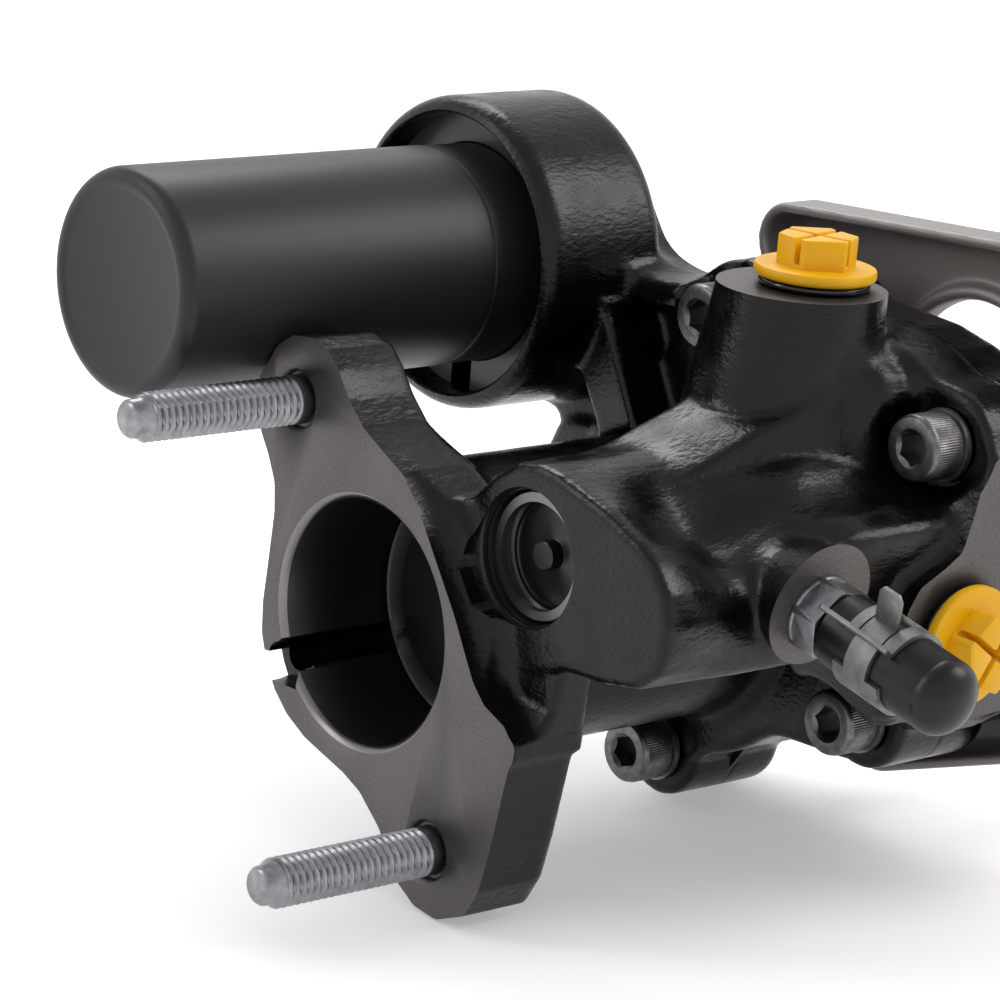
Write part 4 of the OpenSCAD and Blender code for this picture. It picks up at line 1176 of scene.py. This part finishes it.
# %% Floor
low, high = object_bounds()
floor_z = low.z / MM - 0.5
floor_mat, b = finish_named("pale studio floor", "#f4f4f4", 0.9, 0.0)
place = add(floor_mat, "ShaderNodeTexCoord")
mottle = add(floor_mat, "ShaderNodeTexNoise", {"Scale": 3.0}, Vector=place.outputs["Object"])
shade_of = add(floor_mat, "ShaderNodeMapRange", {"To Min": 0.88, "To Max": 0.92}, Value=mottle.outputs["Fac"])
link(floor_mat, shade_of.outputs["Result"], b, "Roughness")


def seen_rays(owner):
    """One where a camera, mirror or glass ray arrives, and zero for the soft light on the object."""
    rays = add(owner, "ShaderNodeLightPath")
    some = add(owner, "ShaderNodeMath", {"operation": "ADD"}, i0=rays.outputs["Is Camera Ray"],
               i1=rays.outputs["Is Glossy Ray"])
    every = add(owner, "ShaderNodeMath", {"operation": "ADD", "use_clamp": True}, i0=some.outputs[0],
                i1=rays.outputs["Is Transmission Ray"])
    return every.outputs[0]


lift = add(floor_mat, "ShaderNodeMath", {"operation": "MULTIPLY", 1: 0.32}, i0=seen_rays(floor_mat))
b.inputs["Emission Color"].default_value = (1, 1, 1, 1)
link(floor_mat, lift.outputs[0], b, "Emission Strength")
corners = [(-6000, -6000), (6000, -6000), (6000, 9000), (-6000, 9000)]
floor = mesh_piece("floor", [(x, y, floor_z) for x, y in corners], [(0, 1, 2, 3)], [floor_mat])
print("floor height in millimetres:", round(floor_z, 1))

# %% [markdown]
# The sky is a plain gradient by height, brightest overhead, as from a light tent. Camera and mirror rays get
# a white one instead, so the background is white while the black coat isn't washed out.

# %% World
world = bpy.data.worlds.new("studio")
bpy.context.scene.world = world
world.use_nodes = True
tree = world.node_tree
way = add(world, "ShaderNodeTexCoord")
split = add(world, "ShaderNodeSeparateXYZ", None, Vector=way.outputs["Generated"])
sky = add(world, "ShaderNodeMapRange", {"From Min": 0.0, "From Max": 0.8, "To Min": 0.34, "To Max": 0.8},
          Value=split.outputs["Z"])
shown = add(world, "ShaderNodeMapRange", {"From Min": 0.35, "From Max": 0.9, "To Min": 1.0, "To Max": 0.6},
            Value=split.outputs["Z"])
light = add(world, "ShaderNodeBackground", {"Color": (1, 1, 1, 1)}, Strength=sky.outputs["Result"])
seen = add(world, "ShaderNodeBackground", {"Color": (1, 1, 1, 1)}, Strength=shown.outputs["Result"])
mixer = add(world, "ShaderNodeMixShader", None, i0=seen_rays(world), i1=light.outputs[0], i2=seen.outputs[0])
link(world, mixer.outputs[0], tree.nodes["World Output"], "Surface")
print("sky nodes:", len(tree.nodes))

# %% [markdown]
# Three soft boxes give the long highlights along the canister and the specks on the coat: one above and
# behind, a tall one at the left and a broad one at the right.

# %% Lamps


def soft_lamp(name, place, aim, width, height, power):
    """A soft box that looks at a point. Places and sizes are in metres, and its power in watts."""
    data = bpy.data.lights.new(name, "AREA")
    data.shape, data.size, data.size_y, data.energy = "RECTANGLE", width, height, power
    o = bpy.data.objects.new(name, data)
    bpy.context.scene.collection.objects.link(o)
    o.location = place
    o.rotation_euler = (Vector(aim) - Vector(place)).to_track_quat("-Z", "Y").to_euler()
    print(name, "watts:", power)


soft_lamp("lamp_above", (0.25, 0.5, 0.65), (0.05, 0, 0), 0.5, 0.3, 2.4)
soft_lamp("lamp_left", (-0.6, 0.45, 0.45), (0.05, 0, 0.02), 0.2, 0.6, 1.4)
soft_lamp("lamp_right", (0.62, -0.45, 0.6), (0.05, 0, 0.02), 0.45, 0.45, 3.0)

# %% [markdown]
# The camera stands where the photographer stood: its place and turn were found from the studs, the bore and
# the canister in the photograph, as was the lens.

# %% Camera
cam = bpy.data.cameras.new("camera")
cam.sensor_width, cam.lens = 36.0, 148.03  # both in millimetres
camera = bpy.data.objects.new("camera", cam)
bpy.context.scene.collection.objects.link(camera)
across, upward, forward = (0.7551, -0.6505, 0.0819), (0.1082, 0.2468, 0.9630), (0.6466, 0.7183, -0.2568)
stand = (-0.481, -0.571, 0.2246)
rows = [(across[k], upward[k], -forward[k], stand[k]) for k in range(3)]
camera.matrix_world = Matrix(rows + [(0, 0, 0, 1)])
cam.clip_start, cam.clip_end = 0.05, 30
bpy.context.scene.camera = camera
bpy.context.scene.view_settings.view_transform = "Standard"
print("camera distance in metres:", round(camera.location.length, 3))
